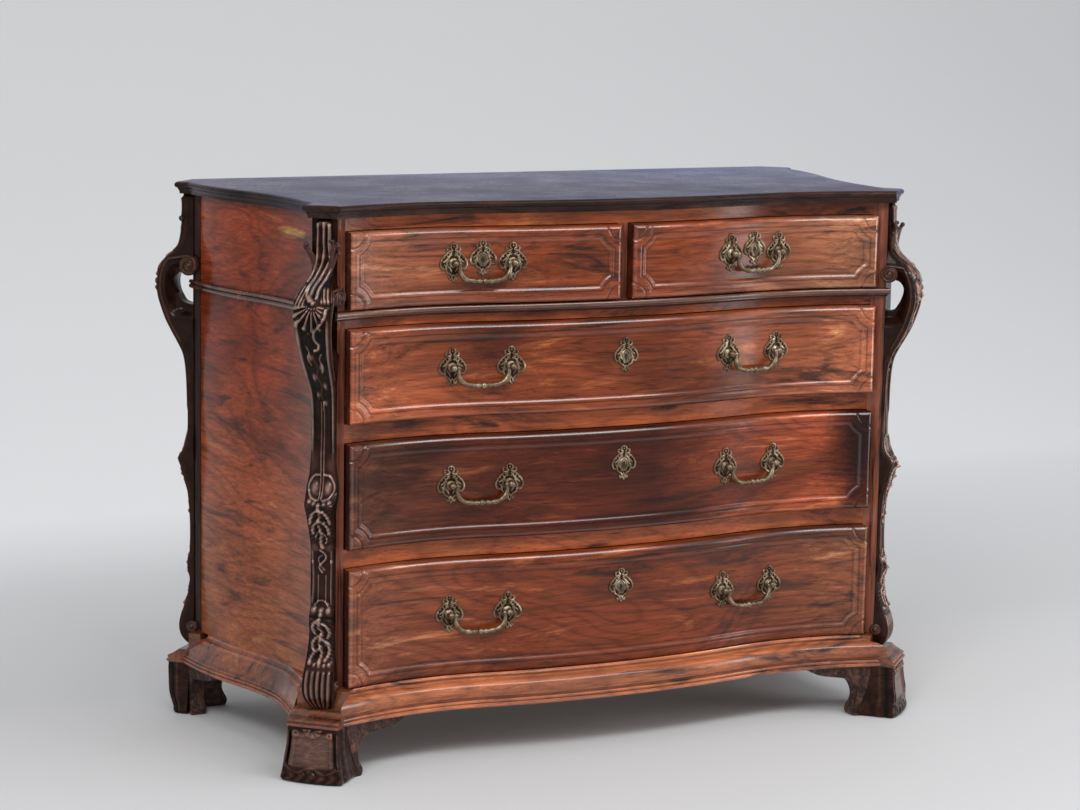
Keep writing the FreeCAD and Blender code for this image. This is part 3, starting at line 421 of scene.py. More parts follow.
def carved_wood(name, shift, figured=False, plain=False):
    """Dark carved wood: painted shade black in the hollows, browner on raised parts as painted highlight and
    wear.

    A figured piece is red-brown at the top of its range, the feet's brown panels. A plain one takes its
    tones from noise.
    """
    n = Nodes(name)
    # Painted shade in the hollows and painted highlight with wear on raised parts; a plain piece takes tones
    # from noise instead.
    if plain:
        painted_shade_and_tone = n.remap(n.noise(70.0, 5.0, 0.65, 1.0, shift), 0.30, 0.72, 0.1, 0.85)
    else:
        painted_shade_and_tone = n.painted_shade_and_wear()
    pale = (0.190, 0.062, 0.024) if figured else (0.28, 0.17, 0.13)
    colour = n.ramp(painted_shade_and_tone, ((0.10, (0.003, 0.002, 0.001)), (0.40, (0.030, 0.011, 0.007)),
                             (0.66, (0.095, 0.042, 0.029)), (1.0, pale)))
    stain = n.noise(34.0, 6.0, 0.62, 1.0, shift)
    colour = n.tint(colour, stain, ((0.30, (0.42, 0.40, 0.38)), (0.70, (1.45, 1.32, 1.22))))
    if figured:
        grain = n.noise((26.0, 26.0, 150.0), 4.0, 0.6, 1.4, shift)
        colour = n.tint(colour, grain, ((0.32, (0.40, 0.34, 0.30)), (0.66, (1.35, 1.30, 1.2))), 0.9)
    if plain:
        shine = 0.3
        normal = n.bump(n.noise(120.0, 5.0, 0.7, 0.8, shift), 0.7, 0.004)
    else:
        shine = n.remap(painted_shade_and_tone, 0.42, 0.85, 0.14, 0.95)
        normal = n.bump(n.noise((420.0, 420.0, 200.0), 3.0, shift=shift), 0.15, 0.0006)
    n.fill(n.shader, {
        "Base Color": colour,
        "Roughness": n.remap(stain, 0.3, 0.7, 0.10, 0.24),
        "Specular IOR Level": shine,
        "Normal": normal,
    })
    return n.material


def plain_wood(name, grain):
    """Unpolished pale board for the inside and the back."""
    n = Nodes(name)
    scale = [24.0, 24.0, 24.0]
    scale[grain] = 2.0
    figure = n.noise(scale, 6.0, 0.6, 0.9)
    tones = ((0.28, (0.17, 0.088, 0.038)), (0.52, (0.30, 0.172, 0.078)), (0.80, (0.41, 0.255, 0.125)))
    colour = n.ramp(figure, tones)
    dirt = n.noise(5.0, 4.0, 0.6)
    n.fill(n.shader, {
        "Base Color": n.tint(colour, dirt, ((0.34, (0.60, 0.56, 0.50)), (0.62, 1.0))),
        "Roughness": n.remap(figure, 0.3, 0.7, 0.55, 0.72),
        "Normal": n.bump(figure, 0.12, 0.001),
    })
    return n.material


def old_brass():
    """Dull gilt casting; its dark ground between the scrolls is patina and painted shade for a pierced
    plate's gaps.
    """
    n = Nodes("old_brass")
    patches = n.noise(55.0, 5.0, 0.62, 0.6)
    tones = ((0.28, (0.060, 0.038, 0.023)), (0.50, (0.185, 0.128, 0.078)), (0.76, (0.46, 0.38, 0.27)))
    colour = n.ramp(patches, tones)
    n.fill(n.shader, {
        "Base Color": n.tint(colour, n.painted_shade_and_wear(), ((0.0, (0.22, 0.18, 0.15)), (0.5, 1.0))),
        "Roughness": n.remap(patches, 0.3, 0.7, 0.52, 0.30),
        "Metallic": 0.9,
        "Normal": n.bump(n.noise(650.0, 3.0), 0.2, 0.0004),
    })
    return n.material


def shadow_black():
    n = Nodes("keyhole_shadow")
    tones = ((0.3, (0.003, 0.002, 0.002)), (0.7, (0.010, 0.008, 0.006)))
    n.fill(n.shader, {"Base Color": n.ramp(n.noise(300.0, 2.0), tones), "Roughness": 0.7})
    return n.material


BRASS = old_brass()
BLACK = shadow_black()
INNER_X = plain_wood("inner_wood_across", 0)
INNER_Y = plain_wood("inner_wood_deep", 1)
INNER_Z = plain_wood("inner_wood_upright", 2)
RAIL_WOOD = polished_wood("rail_wood", 0, (3.1, 0.7, 1.9), middle=(0.42, 0.100, 0.030),
                          light=(0.56, 0.18, 0.06), streaks=0.2, takes_painted_shade=False)
POST_WOOD = polished_wood("post_wood", 2, (1.3, 4.2, 0.6), middle=(0.230, 0.072, 0.044),
                          light=(0.34, 0.12, 0.08), streaks=0.3, takes_painted_shade=False)
REAR_POST_WOOD = polished_wood("rear_post_wood", 2, (5.3, 2.2, 8.6), dark=(0.006, 0.003, 0.002),
                               middle=(0.024, 0.009, 0.006), light=(0.055, 0.018, 0.010),
                               streaks=0.4, takes_painted_shade=False)
# Painted reflection of the floor: the sides grow paler and greyer towards the bottom.
SIDE_PAINTED_REFLECTION = ((0.0, (1.25, 2.5, 3.8)), (0.35, (1.1, 1.7, 2.3)), (0.66, 1.0))
SIDE_GRAIN = {
    "dark": (0.085, 0.017, 0.006), "middle": (0.265, 0.042, 0.012), "light": (0.40, 0.09, 0.026),
    "streaks": 0.3, "shine": 0.22, "slope": 0.16, "takes_painted_shade": False, "painted_light": (2, 0.15, 0.95, SIDE_PAINTED_REFLECTION),
}
SAPWOOD = ((-0.55, -0.085, 0.918), (0.4, 0.075, 0.013))
SIDE_WOODS = {
    "left": polished_wood("side_wood_left", 1, (6.3, 2.1, 3.7), patch=SAPWOOD, **SIDE_GRAIN),
    "right": polished_wood("side_wood_right", 1, (2.3, 7.4, 1.2), **SIDE_GRAIN),
}
TOP_WOOD = polished_wood("top_wood", 0, (8.2, 5.1, 0.4), dark=(0.009, 0.005, 0.004),
                         middle=(0.034, 0.015, 0.011), light=(0.070, 0.030, 0.019), gloss=0.25,
                         shine=0.15, takes_painted_shade=False, sheen=True)
# Painted shade: the base moulding darkens towards both ends, where it turns along the sides.
BASE_PAINTED_END_SHADE = ((0.0, (0.55, 0.50, 0.50)), (0.07, (0.62, 0.58, 0.58)), (0.13, 1.0), (0.83, 1.0),
             (0.90, (0.50, 0.44, 0.44)), (1.0, (0.38, 0.32, 0.32)))
BASE_WOOD = polished_wood("base_wood", 0, (4.4, 9.3, 2.2), middle=(0.380, 0.112, 0.040),
                          light=(0.56, 0.21, 0.082), streaks=0.2, gloss=0.17, shine=0.7,
                          painted_light=(0, -0.68, 0.68, BASE_PAINTED_END_SHADE))
WAIST_WOOD = polished_wood("waist_wood", 0, (2.4, 7.3, 5.2), dark=(0.016, 0.008, 0.006),
                           middle=(0.092, 0.036, 0.022), light=(0.17, 0.070, 0.042), streaks=0.3, shine=0.5)
CARVED = carved_wood("carved_wood", (0.0, 0.0, 0.0))
FOOT_WOOD = carved_wood("foot_wood", (2.0, 5.0, 1.0), figured=True)
BRACKET_WOOD = carved_wood("bracket_wood", (4.0, 1.0, 3.0), plain=True)


def painted_end_reflection(left, right):
    """Painted reflection: paler colour towards the two ends of the drawers."""
    return (0, -0.5, 0.5, ((0.04, left), (0.26, 1.0), (0.74, 1.0), (0.96, right)))


# Painted light on the third drawer: painted reflection near both ends, painted shade in the middle and at
# the right end.
THIRD_PAINTED_LIGHT = ((0.04, (1.4, 1.9, 2.3)), (0.28, (1.25, 1.1, 1.0)), (0.56, (0.80, 0.65, 0.60)),
               (0.70, (2.6, 2.4, 2.0)), (0.93, (3.9, 3.9, 3.7)), (0.985, (0.6, 0.5, 0.5)))
DRAWER_WOODS = {
    "top_left": polished_wood("drawer_wood_top_left", 0, (0.4, 1.9, 2.6), shine=0.35,
                              painted_light=painted_end_reflection((1.3, 2.1, 3.6), 1.0)),
    "top_right": polished_wood("drawer_wood_top_right", 0, (9.4, 3.3, 0.8), shine=0.35,
                               painted_light=painted_end_reflection(1.0, (1.9, 3.4, 5.6))),
    "second": polished_wood("drawer_wood_second", 0, (5.9, 8.1, 7.3), streaks=0.35,
                            painted_light=painted_end_reflection((1.8, 2.2, 2.8), (2.0, 2.9, 4.4))),
    "third": polished_wood("drawer_wood_third", 0, (7.7, 6.2, 4.9), middle=(0.092, 0.019, 0.008),
                           light=(0.21, 0.060, 0.022), streaks=0.7, shine=0.24,
                           painted_light=(0, -0.5, 0.5, THIRD_PAINTED_LIGHT)),
    "bottom": polished_wood("drawer_wood_bottom", 0, (2.9, 0.3, 9.5), middle=(0.165, 0.032, 0.009),
                            painted_light=painted_end_reflection((1.3, 1.9, 3.2), (1.2, 1.9, 3.2))),
}

# Drawer fronts with a soft edge, a raised border and a sunk field with cut-in corners
BORDER = 21.0
CORNER_RADIUS = 47.0
EDGE_FALL = 5.0
EDGE_REACH = 9.0
FINE_REACH = 60.0
FINE_STEP = 1.5
COARSE_STEP = 9.0
# Painted shade: the ends and the back of each drawer front are nearly black.
END_SHADE = 0.08


def stations(first, last, fine_reach):
    """Positions that lie close together near both ends."""
    fine_count = int(fine_reach / FINE_STEP)
    near = [first + k * FINE_STEP for k in range(fine_count + 1)]
    far = [last - k * FINE_STEP for k in range(fine_count, -1, -1)]
    gap = far[0] - near[-1]
    coarse_count = max(1, int(round(gap / COARSE_STEP)))
    between = [near[-1] + gap * k / coarse_count for k in range(1, coarse_count)]
    return near + between + far


def front_depth(from_end, from_edge):
    """How far the front's surface lies behind its foremost plane, and its painted shade and wear there."""
    nearest = min(from_end, from_edge)
    from_corner = math.hypot(from_end, from_edge)
    inside = min(from_end - BORDER, from_edge - BORDER, from_corner - CORNER_RADIUS)
    groove = hump(inside, -5.0, 2.4)
    crescent = hump(from_corner, 27.0, 3.0)
    depth = EDGE_FALL * max(0.0, 1.0 - nearest / EDGE_REACH) ** 1.7
    depth += FIELD_SINK * smooth_step(inside, -2.5, 4.5) + groove
    depth += 1.3 * crescent - 0.7 * hump(from_corner, 33.0, 5.0)
    # Painted shade in the groove, the crescents and along the field; paler outer edge and field rim as
    # painted highlight and wear.
    shade = 0.52 - 0.40 * groove - 0.34 * crescent - 0.26 * hump(inside, 6.0, 3.0)
    return depth, shade + 0.30 * hump(nearest, 4.5, 4.5) + 0.24 * hump(inside, 1.0, 4.0)


def drawer_front(name, left, right, low, high):
    shape = Shape()
    xs = stations(left, right, FINE_REACH)
    zs = stations(low, high, min(FINE_REACH, (high - low) / 2 - 4))
    rows = []
    shades = []
    for z in zs:
        from_edge = min(z - low, high - z)
        spots = [front_depth(min(x - left, right - x), from_edge) for x in xs]
        rows.append([(x, front_y(x, depth), z) for x, (depth, shade) in zip(xs, spots)])
        shades.append([END_SHADE] + [shade for depth, shade in spots[1:-1]] + [END_SHADE])
    ids = shape.grid(rows, shades=shades)
    back_shades = [END_SHADE] * len(xs)
    back_low = shape.add([(x, front_y(x, FRONT_THICKNESS), low) for x in xs], back_shades)
    back_high = shape.add([(x, front_y(x, FRONT_THICKNESS), high) for x in xs], back_shades)
    for k in range(len(xs) - 1):
        for one, other in ((ids[0], back_low), (ids[-1], back_high), (back_low, back_high)):
            shape.faces.append((one[k], one[k + 1], other[k + 1], other[k]))
    for k in (0, -1):
        shape.faces.append(tuple([row[k] for row in ids] + [back_high[k], back_low[k]]))
    make_piece(f"front_{name}", shape, DRAWER_WOODS[name], f"drawer_{name}",
               (f"drawer_{name}_front",), sharp_degrees=50.0)


# Brass: cast plates of scrolls, posts, bails, keyhole plates and locks
PLATE_SCROLLS = (
    ((1, 21), (8, 19), (17, 13), (24, 6), (27, -3), (23, -10), (17, -9), (16, -4), (20, -3)),
    ((1, 33), (5, 30), (6, 25), (3, 21), (8, 18), (13, 20), (13, 25), (9, 26)),
    ((2, 13), (9, 11), (13, 4), (12, -4), (7, -9), (4, -15)),
    ((17, -9), (13, -15), (7, -18), (4, -23), (7, -27), (10, -24)),
    ((3, 18), (9, 10), (16, 4), (21, 1)),
    ((14, 14), (10, 6), (15, -3), (14, -12)),
    ((0, -18), (3, -24), (0, -30)),
)
PLATE_TIPS = (
    (0, 31.5, 2.6), (0, 27, 2.0), (13, 22, 2.0), (24.5, 4, 2.2), (16, -6, 1.9), (0, -29, 2.2),
    (9, -24, 1.8), (8, 15, 1.7), (19, 9, 1.7),
)
PLATE_EDGE = (
    (0, 30), (4, 27), (5.5, 22), (10, 21), (12, 15), (19, 11), (24, 4), (25, -3), (20, -8), (15, -8),
    (12, -14), (7, -17), (4, -22), (6, -25), (0, -29),
)
PLATE_GROUND = ((0.1, 0.7), (0.5, 0.7), (0.93, 0.7), (0.95, 0.0))
POST_PROFILE = (
    (0.2, 8.0), (1.6, 8.2), (2.6, 7.0), (3.2, 5.0), (4.6, 3.9), (6.0, 4.1), (7.2, 5.6), (9.2, 6.4),
    (13.0, 6.6), (16.2, 5.6), (18.4, 3.4), (19.4, 1.2), (19.5, 0.1),
)
TAIL_PROFILE = ((-2, 2.5), (6, 2.5), (6.4, 1.6))
NUT_PROFILE = ((0, 5.4), (0.4, 6.0), (3.4, 6.0), (4, 5.2))
SCREW_PROFILE = ((-0.5, 4.0), (0.8, 3.6), (1.4, 2.0), (1.5, 0.1))
HANDLE_PLATE_SCALE = (0.9, 1.04)
KEYHOLE_PLATE_SCALE = (0.84, 0.96)
SCROLL_LIFT = 1.2
TIP_LIFT = 1.4
LOCK_HALF_WIDTH = 30.0
LOCK_HALF_HEIGHT = 23.0
LOCK_BACK = 53.0
LOCK_LAYERS = ((42.0, -0.6), (42.6, 0.0), (52.0, 0.0), (LOCK_BACK, -1.0))
SCREW_OFFSET = 22.0


def field_point(x, z, lift):
    """Point above the sunk field of a drawer front."""
    return Vector((x, front_y(x, FIELD_SINK) - lift, z))


def scroll_plate(shape, x, z, wide, tall):
    """Cast plate: mirrored scrolls and small leaves on a thin ground."""
    outline = list(PLATE_EDGE) + [(-u, v) for u, v in reversed(PLATE_EDGE[1:-1])]
    rings = [[field_point(x + u * wide * share, z + v * tall * share, lift) for u, v in outline]
             for share, lift in PLATE_GROUND]
    # The ground between the scrolls is darkest: painted shade for the gaps of a pierced plate, with patina.
    shape.loft(rings, [[0.0] * len(outline)] * len(rings))
    for side in (-1, 1):
        for scroll in PLATE_SCROLLS:
            flat = spline_points([(u * wide * side, v * tall, 0) for u, v in scroll], 5)
            path = [field_point(x + p.x, z + p.y, SCROLL_LIFT) for p in flat]
            count = len(path) - 1
            radii = [0.9 + math.sin(math.pi * k / count) ** 0.7 for k in range(count + 1)]
            shape.tube(path, radii, 8)
        for u, v, radius in PLATE_TIPS:
            shape.ball(field_point(x + u * wide * side, z + v * tall, TIP_LIFT), radius, 10)


def handle_line(x):
    """Feet of a handle's two posts, and the directions along and away from the drawer."""
    ends = (x - HANDLE_HALF_SPACING, x + HANDLE_HALF_SPACING)
    feet = [Vector((end, front_y(end, FIELD_SINK), 0)) for end in ends]
    along = (feet[1] - feet[0]).normalized()
    return feet, along, Vector((along.y, -along.x, 0))


def handle_mount(shape, foot, out, z):
    """Plate, turned post with a round head, and the tail and nut inside the drawer."""
    base = Vector((foot.x, foot.y, z))
    scroll_plate(shape, foot.x, z, *HANDLE_PLATE_SCALE)
    shape.lathe(base, out, POST_PROFILE)
    nut_start = FRONT_THICKNESS - FIELD_SINK + 1.0
    for profile, sides in ((TAIL_PROFILE, 12), (NUT_PROFILE, 6)):
        shape.lathe(base, -out, [(nut_start + depth, radius) for depth, radius in profile], sides)


def keyhole_plate(shape, x, z):
    """Scroll plate with a raised oval round the keyhole."""
    scroll_plate(shape, x, z, *KEYHOLE_PLATE_SCALE)
    sides = 24
    middle = z - 2

    def oval(wide, tall, lift, count):
        angles = [2 * math.pi * k / sides for k in range(count)]
        return [field_point(x + wide * math.sin(a), middle + tall * math.cos(a), lift) for a in angles]

    shape.tube(oval(7.0, 11.0, SCROLL_LIFT, sides + 1), [1.6] * (sides + 1), 8)
    shape.grid([oval(r, 1.5 * r, lift, sides) for r, lift in ((7.0, 0.8), (5.2, 1.4), (3.4, 1.6))], True)


def keyhole_dark(x, z):
    """Dark bottom of the keyhole: a round top and a slot."""
    shape = Shape()
    radius = 2.9
    angles = [math.radians(-40 + 260 * k / 16) for k in range(17)]
    outline = [(radius * math.cos(a), radius * math.sin(a)) for a in angles] + [(-1.5, -8.5), (1.5, -8.5)]
    shape.loft([[field_point(x + u, z + v, lift) for u, v in outline] for lift in (0.4, 1.9)])
    return shape


def lock_case(shape, x, z):
    """Flat case on the inside of a drawer front, with rounded edges and two screws."""
    steps = 12
    rings = []
    for depth, grow in LOCK_LAYERS:
        half = LOCK_HALF_WIDTH + grow
        tall = LOCK_HALF_HEIGHT + grow
        line = [x - half + 2 * half * k / steps for k in range(steps + 1)]
        low = [(spot, front_y(spot, depth), z - tall) for spot in line]
        rings.append(low + [(spot, front_y(spot, depth), z + tall) for spot in reversed(line)])
    shape.loft(rings)
    for spot in (x - SCREW_OFFSET, x + SCREW_OFFSET):
        shape.lathe((spot, front_y(spot, LOCK_BACK), z), (0, 1, 0), SCREW_PROFILE, 12)


BAIL_END = 44.5
BAIL_DROP = 31.0
BAIL_LINE = (
    (BAIL_END, 0), (45.5, -6), (44.8, -13), (41.0, -21), (33.0, -27.5), (20.0, -30.5), (0, -BAIL_DROP),
)
BAIL_KNOPS = ((0.0, 6.0), (-10.5, 5.0), (10.5, 5.0))


def bail(name, x, z, body):
    """Swelling bail with knops at its middle and balls at its ends."""
    feet, along, out = handle_line(x)
    middle = (feet[0] + feet[1]) / 2 + out * POST_REACH
    middle.z = z
    outline = [(-u, v) for u, v in BAIL_LINE] + list(reversed(BAIL_LINE[:-1]))
    flat = spline_points([(u, v, 0) for u, v in outline], 8)
    radii = []
    for p in flat:
        radius = 3.2 + 1.6 * hump(p.y, -22.0, 14.0)
        if p.y < -20:
            radius += 1.3 * hump(abs(p.x), 22.0, 7.0)
        radii.append(radius)
    shape = Shape()
    shape.tube([middle + along * p.x + Vector((0, 0, p.y)) for p in flat], radii, 14)
    neck = 2.6
    angles = [math.pi * k / 8 for k in range(9)]
    for u, radius in BAIL_KNOPS:
        profile = [(-radius * 0.8 * math.cos(a), neck + (radius - neck) * math.sin(a)) for a in angles]
        shape.lathe(middle + along * u + Vector((0, 0, -BAIL_DROP)), along, profile, 16)
    for side in (-1, 1):
        end = middle + along * (BAIL_END * side)
        shape.ball(end, 4.0)
        shape.tube([end, end + along * (8.0 * side)], [2.1, 2.1], 12)
    make_piece(f"handle_{name}", shape, BRASS, body, (body,), sharp_degrees=40.0)


def drawers():
    layout = {
        "top_left": ("top", -HALF_SPAN, -DIVIDER_HALF_WIDTH, {"": -HANDLE_OFFSET}),
        "top_right": ("top", DIVIDER_HALF_WIDTH, HALF_SPAN, {"": HANDLE_OFFSET}),
    }
    for row in ("second", "third", "bottom"):
        layout[row] = (row, -HALF_SPAN, HALF_SPAN, {"_left": -HANDLE_OFFSET, "_right": HANDLE_OFFSET})
    for name, (row, left, right, handles) in layout.items():
        low, high = ROWS[row]
        body = f"drawer_{name}"
        drawer_front(name, left, right, low + DRAWER_GAP, high - DRAWER_GAP)
        handle_z = (low + high) / 2 + HANDLE_RISE
        lock_x = handles.get("", 0.0)
        lock_z = (low + high) / 2 + LOCK_RISE[row]
        brass = Shape()
        for side, x in handles.items():
            feet, along, out = handle_line(x)
            for foot in feet:
                handle_mount(brass, foot, out, handle_z)
            bail(f"{name}{side}", x, handle_z, f"bail_{name}{side}")
        keyhole_plate(brass, lock_x, lock_z)
        lock_case(brass, lock_x, lock_z)
        make_piece(f"fittings_{name}", brass, BRASS, body, (f"{body}_fittings",),
                   sharp_degrees=40.0)
        make_piece(f"keyhole_{name}", keyhole_dark(lock_x, lock_z), BLACK, body)


# Mouldings that follow the front wave and the sides
def rounded(profile):
    """Smooth run of a profile of (offset, height) points; a point given twice stays a sharp corner."""
    runs = [[profile[0]]]
    for before, spot in zip(profile, profile[1:]):
        if spot == before:
            runs.append([spot])
        else:
            runs[-1].append(spot)
    return [(p.x, p.y) for run in runs for p in spline_points([(a, b, 0) for a, b in run], 5)]


def moulding_shade(profile):
    """Painted shade in the grooves of a profile and painted highlight on its beads."""
    tones = []
    for inset, z in profile:
        near = [other for other, height in profile if abs(height - z) < 4.5]
        tones.append(min(1.0, max(0.04, 0.5 + 0.16 * (sum(near) / len(near) - inset))))
    return tones


def front_strip(shape, profile, half_length):
    """Strip along the front; half_length is taken at each offset."""
    steps = 150
    rings = []
    for k in range(steps + 1):
        spots = [((2 * k / steps - 1) * half_length(offset), offset, z) for offset, z in profile]
        rings.append([(x, front_y(x, offset), z) for x, offset, z in spots])
    shape.loft(rings, [moulding_shade(profile)] * len(rings))


def side_strip(shape, profile, start_of, finish_of, sign, flare=0.0):
    """Strip along one side; sign is 1 on the left and -1 on the right, and flare spreads its front end."""
    steps = 90
    rings = []
    for k in range(steps + 1):
        ring = []
        for inset, z in profile:
            first = start_of(inset)
            y = first + (finish_of(inset) - first) * k / steps
            widen = flare * (1 - smooth_step(k / steps, 0.0, 0.30)) if inset < SIDE_OVERHANG else 0.0
            ring.append((sign * (side_x(y, inset) - widen), y, z))
        rings.append(ring)
    shape.loft(rings, [moulding_shade(profile)] * len(rings))


BLOCK_HALF_WIDTH = 47.0
BLOCK_REACH = BLOCK_HALF_WIDTH * math.sqrt(2)


def settled(value, step):
    """Value at which a step that draws near it comes to rest."""
    for _ in range(12):
        value = step(value)
    return value


def base_front_end(offset):
    """Half length at which the front moulding meets the corner blocks."""
    return -settled(-500.0, lambda x: FRONT_CORNER[0] + BLOCK_REACH + front_y(x, offset) - FRONT_CORNER[1])


def base_side_start(inset):
    return settled(-200.0, lambda y: FRONT_CORNER[1] + side_x(y, inset) - FRONT_CORNER[0] + BLOCK_REACH)


def base_side_finish(inset):
    return settled(200.0, lambda y: REAR_CORNER[1] - BLOCK_REACH - side_x(y, inset) + REAR_CORNER[0])


BASE_FRONT = (
    (25, 152), (4, 152), (4, 152), (2.5, 149), (-1, 146.5), (-6, 145.5), (-6, 145.5), (-6, 142.5),
    (-6, 142.5), (-12, 140.5), (-17.5, 136.5), (-20.6, 130), (-20.8, 123), (-18, 116.5), (-13, 112.5),
    (-11, 112), (-11, 112), (-11, 109), (-11, 109), (-14.5, 107.5), (-15, 104), (-13.5, 102.5),
    (-13.5, 102.5), (-15.8, 101), (-16, 97.5), (-14, 95), (-14, 95), (25, 95),
)
BASE_SIDE = (
    (42, 152), (22, 152), (22, 152), (20.5, 148), (17, 144.5), (17, 144.5), (13, 142.5), (5, 134),
    (-3, 122), (-8.5, 112), (-8.5, 112), (-10.5, 110.5), (-10.5, 108), (-10.5, 108), (-13.5, 107),
    (-14, 104), (-12.5, 102.5), (-12.5, 102.5), (-14.6, 101.3), (-15, 98), (-13, 95), (-13, 95), (42, 95),
)
WAIST_FRONT = (
    (25, 802), (10, 802), (10, 802), (6.5, 800.5), (5, 797), (6, 793.5), (8.5, 792.5), (8.5, 792.5),
    (8.5, 790.5), (8.5, 790.5), (12, 789.5), (15, 787.5), (16, 786), (16, 786), (25, 786),
)
WAIST_SIDE = (
    (22, 802), (15, 802), (15, 802), (12.6, 800), (12.6, 796.5), (15, 794.5), (15, 794.5), (12.6, 792.5),
    (12.6, 788.5), (15, 786), (15, 786), (22, 786),
)
BASE_FLARE = 15.0
WAIST_HALF = STILE_X + 24.0
WAIST_START = FRONT_POST_REAR_Y - 34.0
WAIST_FINISH = REAR_POST_FRONT_Y + 36.0


def mouldings():
    base = Shape()
    front_strip(base, rounded(BASE_FRONT), base_front_end)
    waist = Shape()
    front_strip(waist, rounded(WAIST_FRONT), lambda offset: WAIST_HALF)
    for sign in (1, -1):
        side_strip(base, rounded(BASE_SIDE), base_side_start, base_side_finish, sign, BASE_FLARE)
        side_strip(waist, rounded(WAIST_SIDE), lambda inset: WAIST_START, lambda inset: WAIST_FINISH, sign)
    make_piece("moulding_base", base, BASE_WOOD, "carcass", ("base_moulding",),
               sharp_degrees=30.0)
    make_piece("moulding_waist", waist, WAIST_WOOD, "carcass", ("waist_moulding",),
               sharp_degrees=30.0)


def side_panels():
    """Curved sides with a smooth surface."""
    steps = 90
    for sign, side in ((1, "left"), (-1, "right")):
        shape = Shape()
        rings = []
        for k in range(steps + 1):
            y = FRONT_POST_REAR_Y + (REAR_POST_FRONT_Y - FRONT_POST_REAR_Y) * k / steps
            outer = sign * side_x(y, SIDE_OVERHANG)
            inner = sign * side_x(y, SIDE_OVERHANG + PANEL_THICKNESS)
            rings.append([(outer, y, BASE_TOP), (outer, y, CASE_TOP),
                          (inner, y, CASE_TOP), (inner, y, BASE_TOP)])
        shape.loft(rings)
        make_piece(f"panel_{side}", shape, SIDE_WOODS[side], "carcass",
                   (f"side_panel_{side}",))


# Top board with a moulded edge
TOP_EDGE = (
    (7.5, 0), (4.5, 0.4), (2.0, 1.6), (0.5, 3.6), (0, 6.0), (0.6, 8.6), (2.2, 10.6), (4.4, 11.4),
    (4.4, 13.2), (5.4, 14.6), (6.6, 16.8), (7.0, 19.4), (7.2, 22.0),
)


def crossing(inside, outside, test):
    """Value between the two at which the test turns true, on its true side."""
    low, high = outside, inside
    for _ in range(40):
        middle = (low + high) / 2
        if test(middle):
            high = middle
        else:
            low = middle
    return high


def top_outline(step):
    """Outline of the top, stepped in by step; it starts at the middle of the front and goes right."""
    half = EAR_HALF_WIDTH - step
    steps = 60

    def flank_end(corner, w, inside):
        """Point at which the flank of an ear meets the front or the side."""
        t = crossing(-60.0, 0.0, lambda t: inside(corner_point(corner, w, t, 0)))
        return corner_point(corner, w, t, 0)

    front_end = flank_end("front_right", -half, lambda p: p.y >= front_y(p.x, step - TOP_LEAD))
    side_start = flank_end("front_right", half, lambda p: p.x <= -side_x(p.y, step))
    side_end = flank_end("rear_right", -half, lambda p: p.x <= -side_x(p.y, step))
    xs = [front_end.x * k / steps for k in range(steps)]
    right = [Vector((x, front_y(x, step - TOP_LEAD), 0)) for x in xs]
    right.append(front_end)
    right += [corner_point("front_right", w, -step, 0) for w in (-half, half)]
    for k in range(steps + 1):
        y = side_start.y + (side_end.y - side_start.y) * k / steps
        right.append(Vector((-side_x(y, step), y, 0)))
    back_w = crossing(-half, half, lambda w: corner_point("rear_right", w, -step, 0).y <= BACK_Y - step)
    right += [corner_point("rear_right", w, -step, 0) for w in (-half, back_w)]
    return right + [Vector((-p.x, p.y, 0)) for p in reversed(right[1:])]


def top_board():
    shape = Shape()
    lifts = [(step, Vector((0, 0, TOP_HEIGHT - drop))) for step, drop in TOP_EDGE]
    shape.loft([[p + lift for p in top_outline(step)] for step, lift in lifts])
    make_piece("top", shape, TOP_WOOD, "carcass", ("top_board",), sharp_degrees=40.0)


# Corner blocks and carved feet
BLOCK_PROJECTION = {"front": 32.0, "rear": 14.0}
BLOCK_BACK = {"front": -75.0, "rear": -55.0}
BLOCK_EDGE = (
    (3, 95), (0.6, 96), (0, 98.5), (0.8, 100.6), (3.4, 101.4), (3.4, 101.4), (3.8, 102.6), (2.6, 103.4),
    (2.4, 105.5), (3.6, 107.6), (5.8, 108.3), (5.8, 108.3), (12, 111.5), (19, 115.5), (24, 119.5),
    (26, 121),
)
BLOCK_PINCH = 1.2
# Painted shade on the faces of each block that lie behind the pilaster and in the case.
BLOCK_SHADE = 0.35


def corner_blocks():
    shape = Shape()
    edge = rounded(BLOCK_EDGE)
    tones = moulding_shade(edge) + [BLOCK_SHADE] * 4
    for corner in CORNERS:
        end = end_of(corner)
        face = -POST_INSET[end]
        back = BLOCK_BACK[end]
        profile = [(BLOCK_PROJECTION[end] - step, z) for step, z in edge]
        profile += [(face, PILASTER_FLOOR), (face, BASE_TOP), (back, BASE_TOP), (back, FOOT_HEIGHT)]
        rings = []
        for share in (-1.0, -0.97, -0.6, 0.0, 0.6, 0.97, 1.0):
            pinch = BLOCK_PINCH if abs(share) == 1.0 else 0.0
            rings.append([corner_point(corner, share * BLOCK_HALF_WIDTH, t - pinch if t > 0 else t, z)
                          for t, z in profile])
        shape.loft(rings, [tones] * len(rings))
    make_piece("blocks", shape, BASE_WOOD, "carcass", ("base_corner_blocks",),
               sharp_degrees=30.0)


FOOT_REACH = {
    "front": smooth_table(((0, 38.5), (3, 41.8), (6, 42.8), (10, 42.2), (16, 40.2), (28, 36.8),
                           (41, 34.2), (66, 30.2), (95, 28.6))),
    "rear": smooth_table(((0, -2), (3, 1.3), (6, 2.4), (16, 3.8), (41, 7), (66, 9.4), (95, 10.6))),
}
FOOT_WIDTH = smooth_table(((0, 53), (3, 56), (6, 57), (10, 56.6), (16, 55.2), (28, 53),
                           (41, 51), (66, 48), (95, 46.8)))
FOOT_BACK = 32.0
FOOT_BOW = 8.0


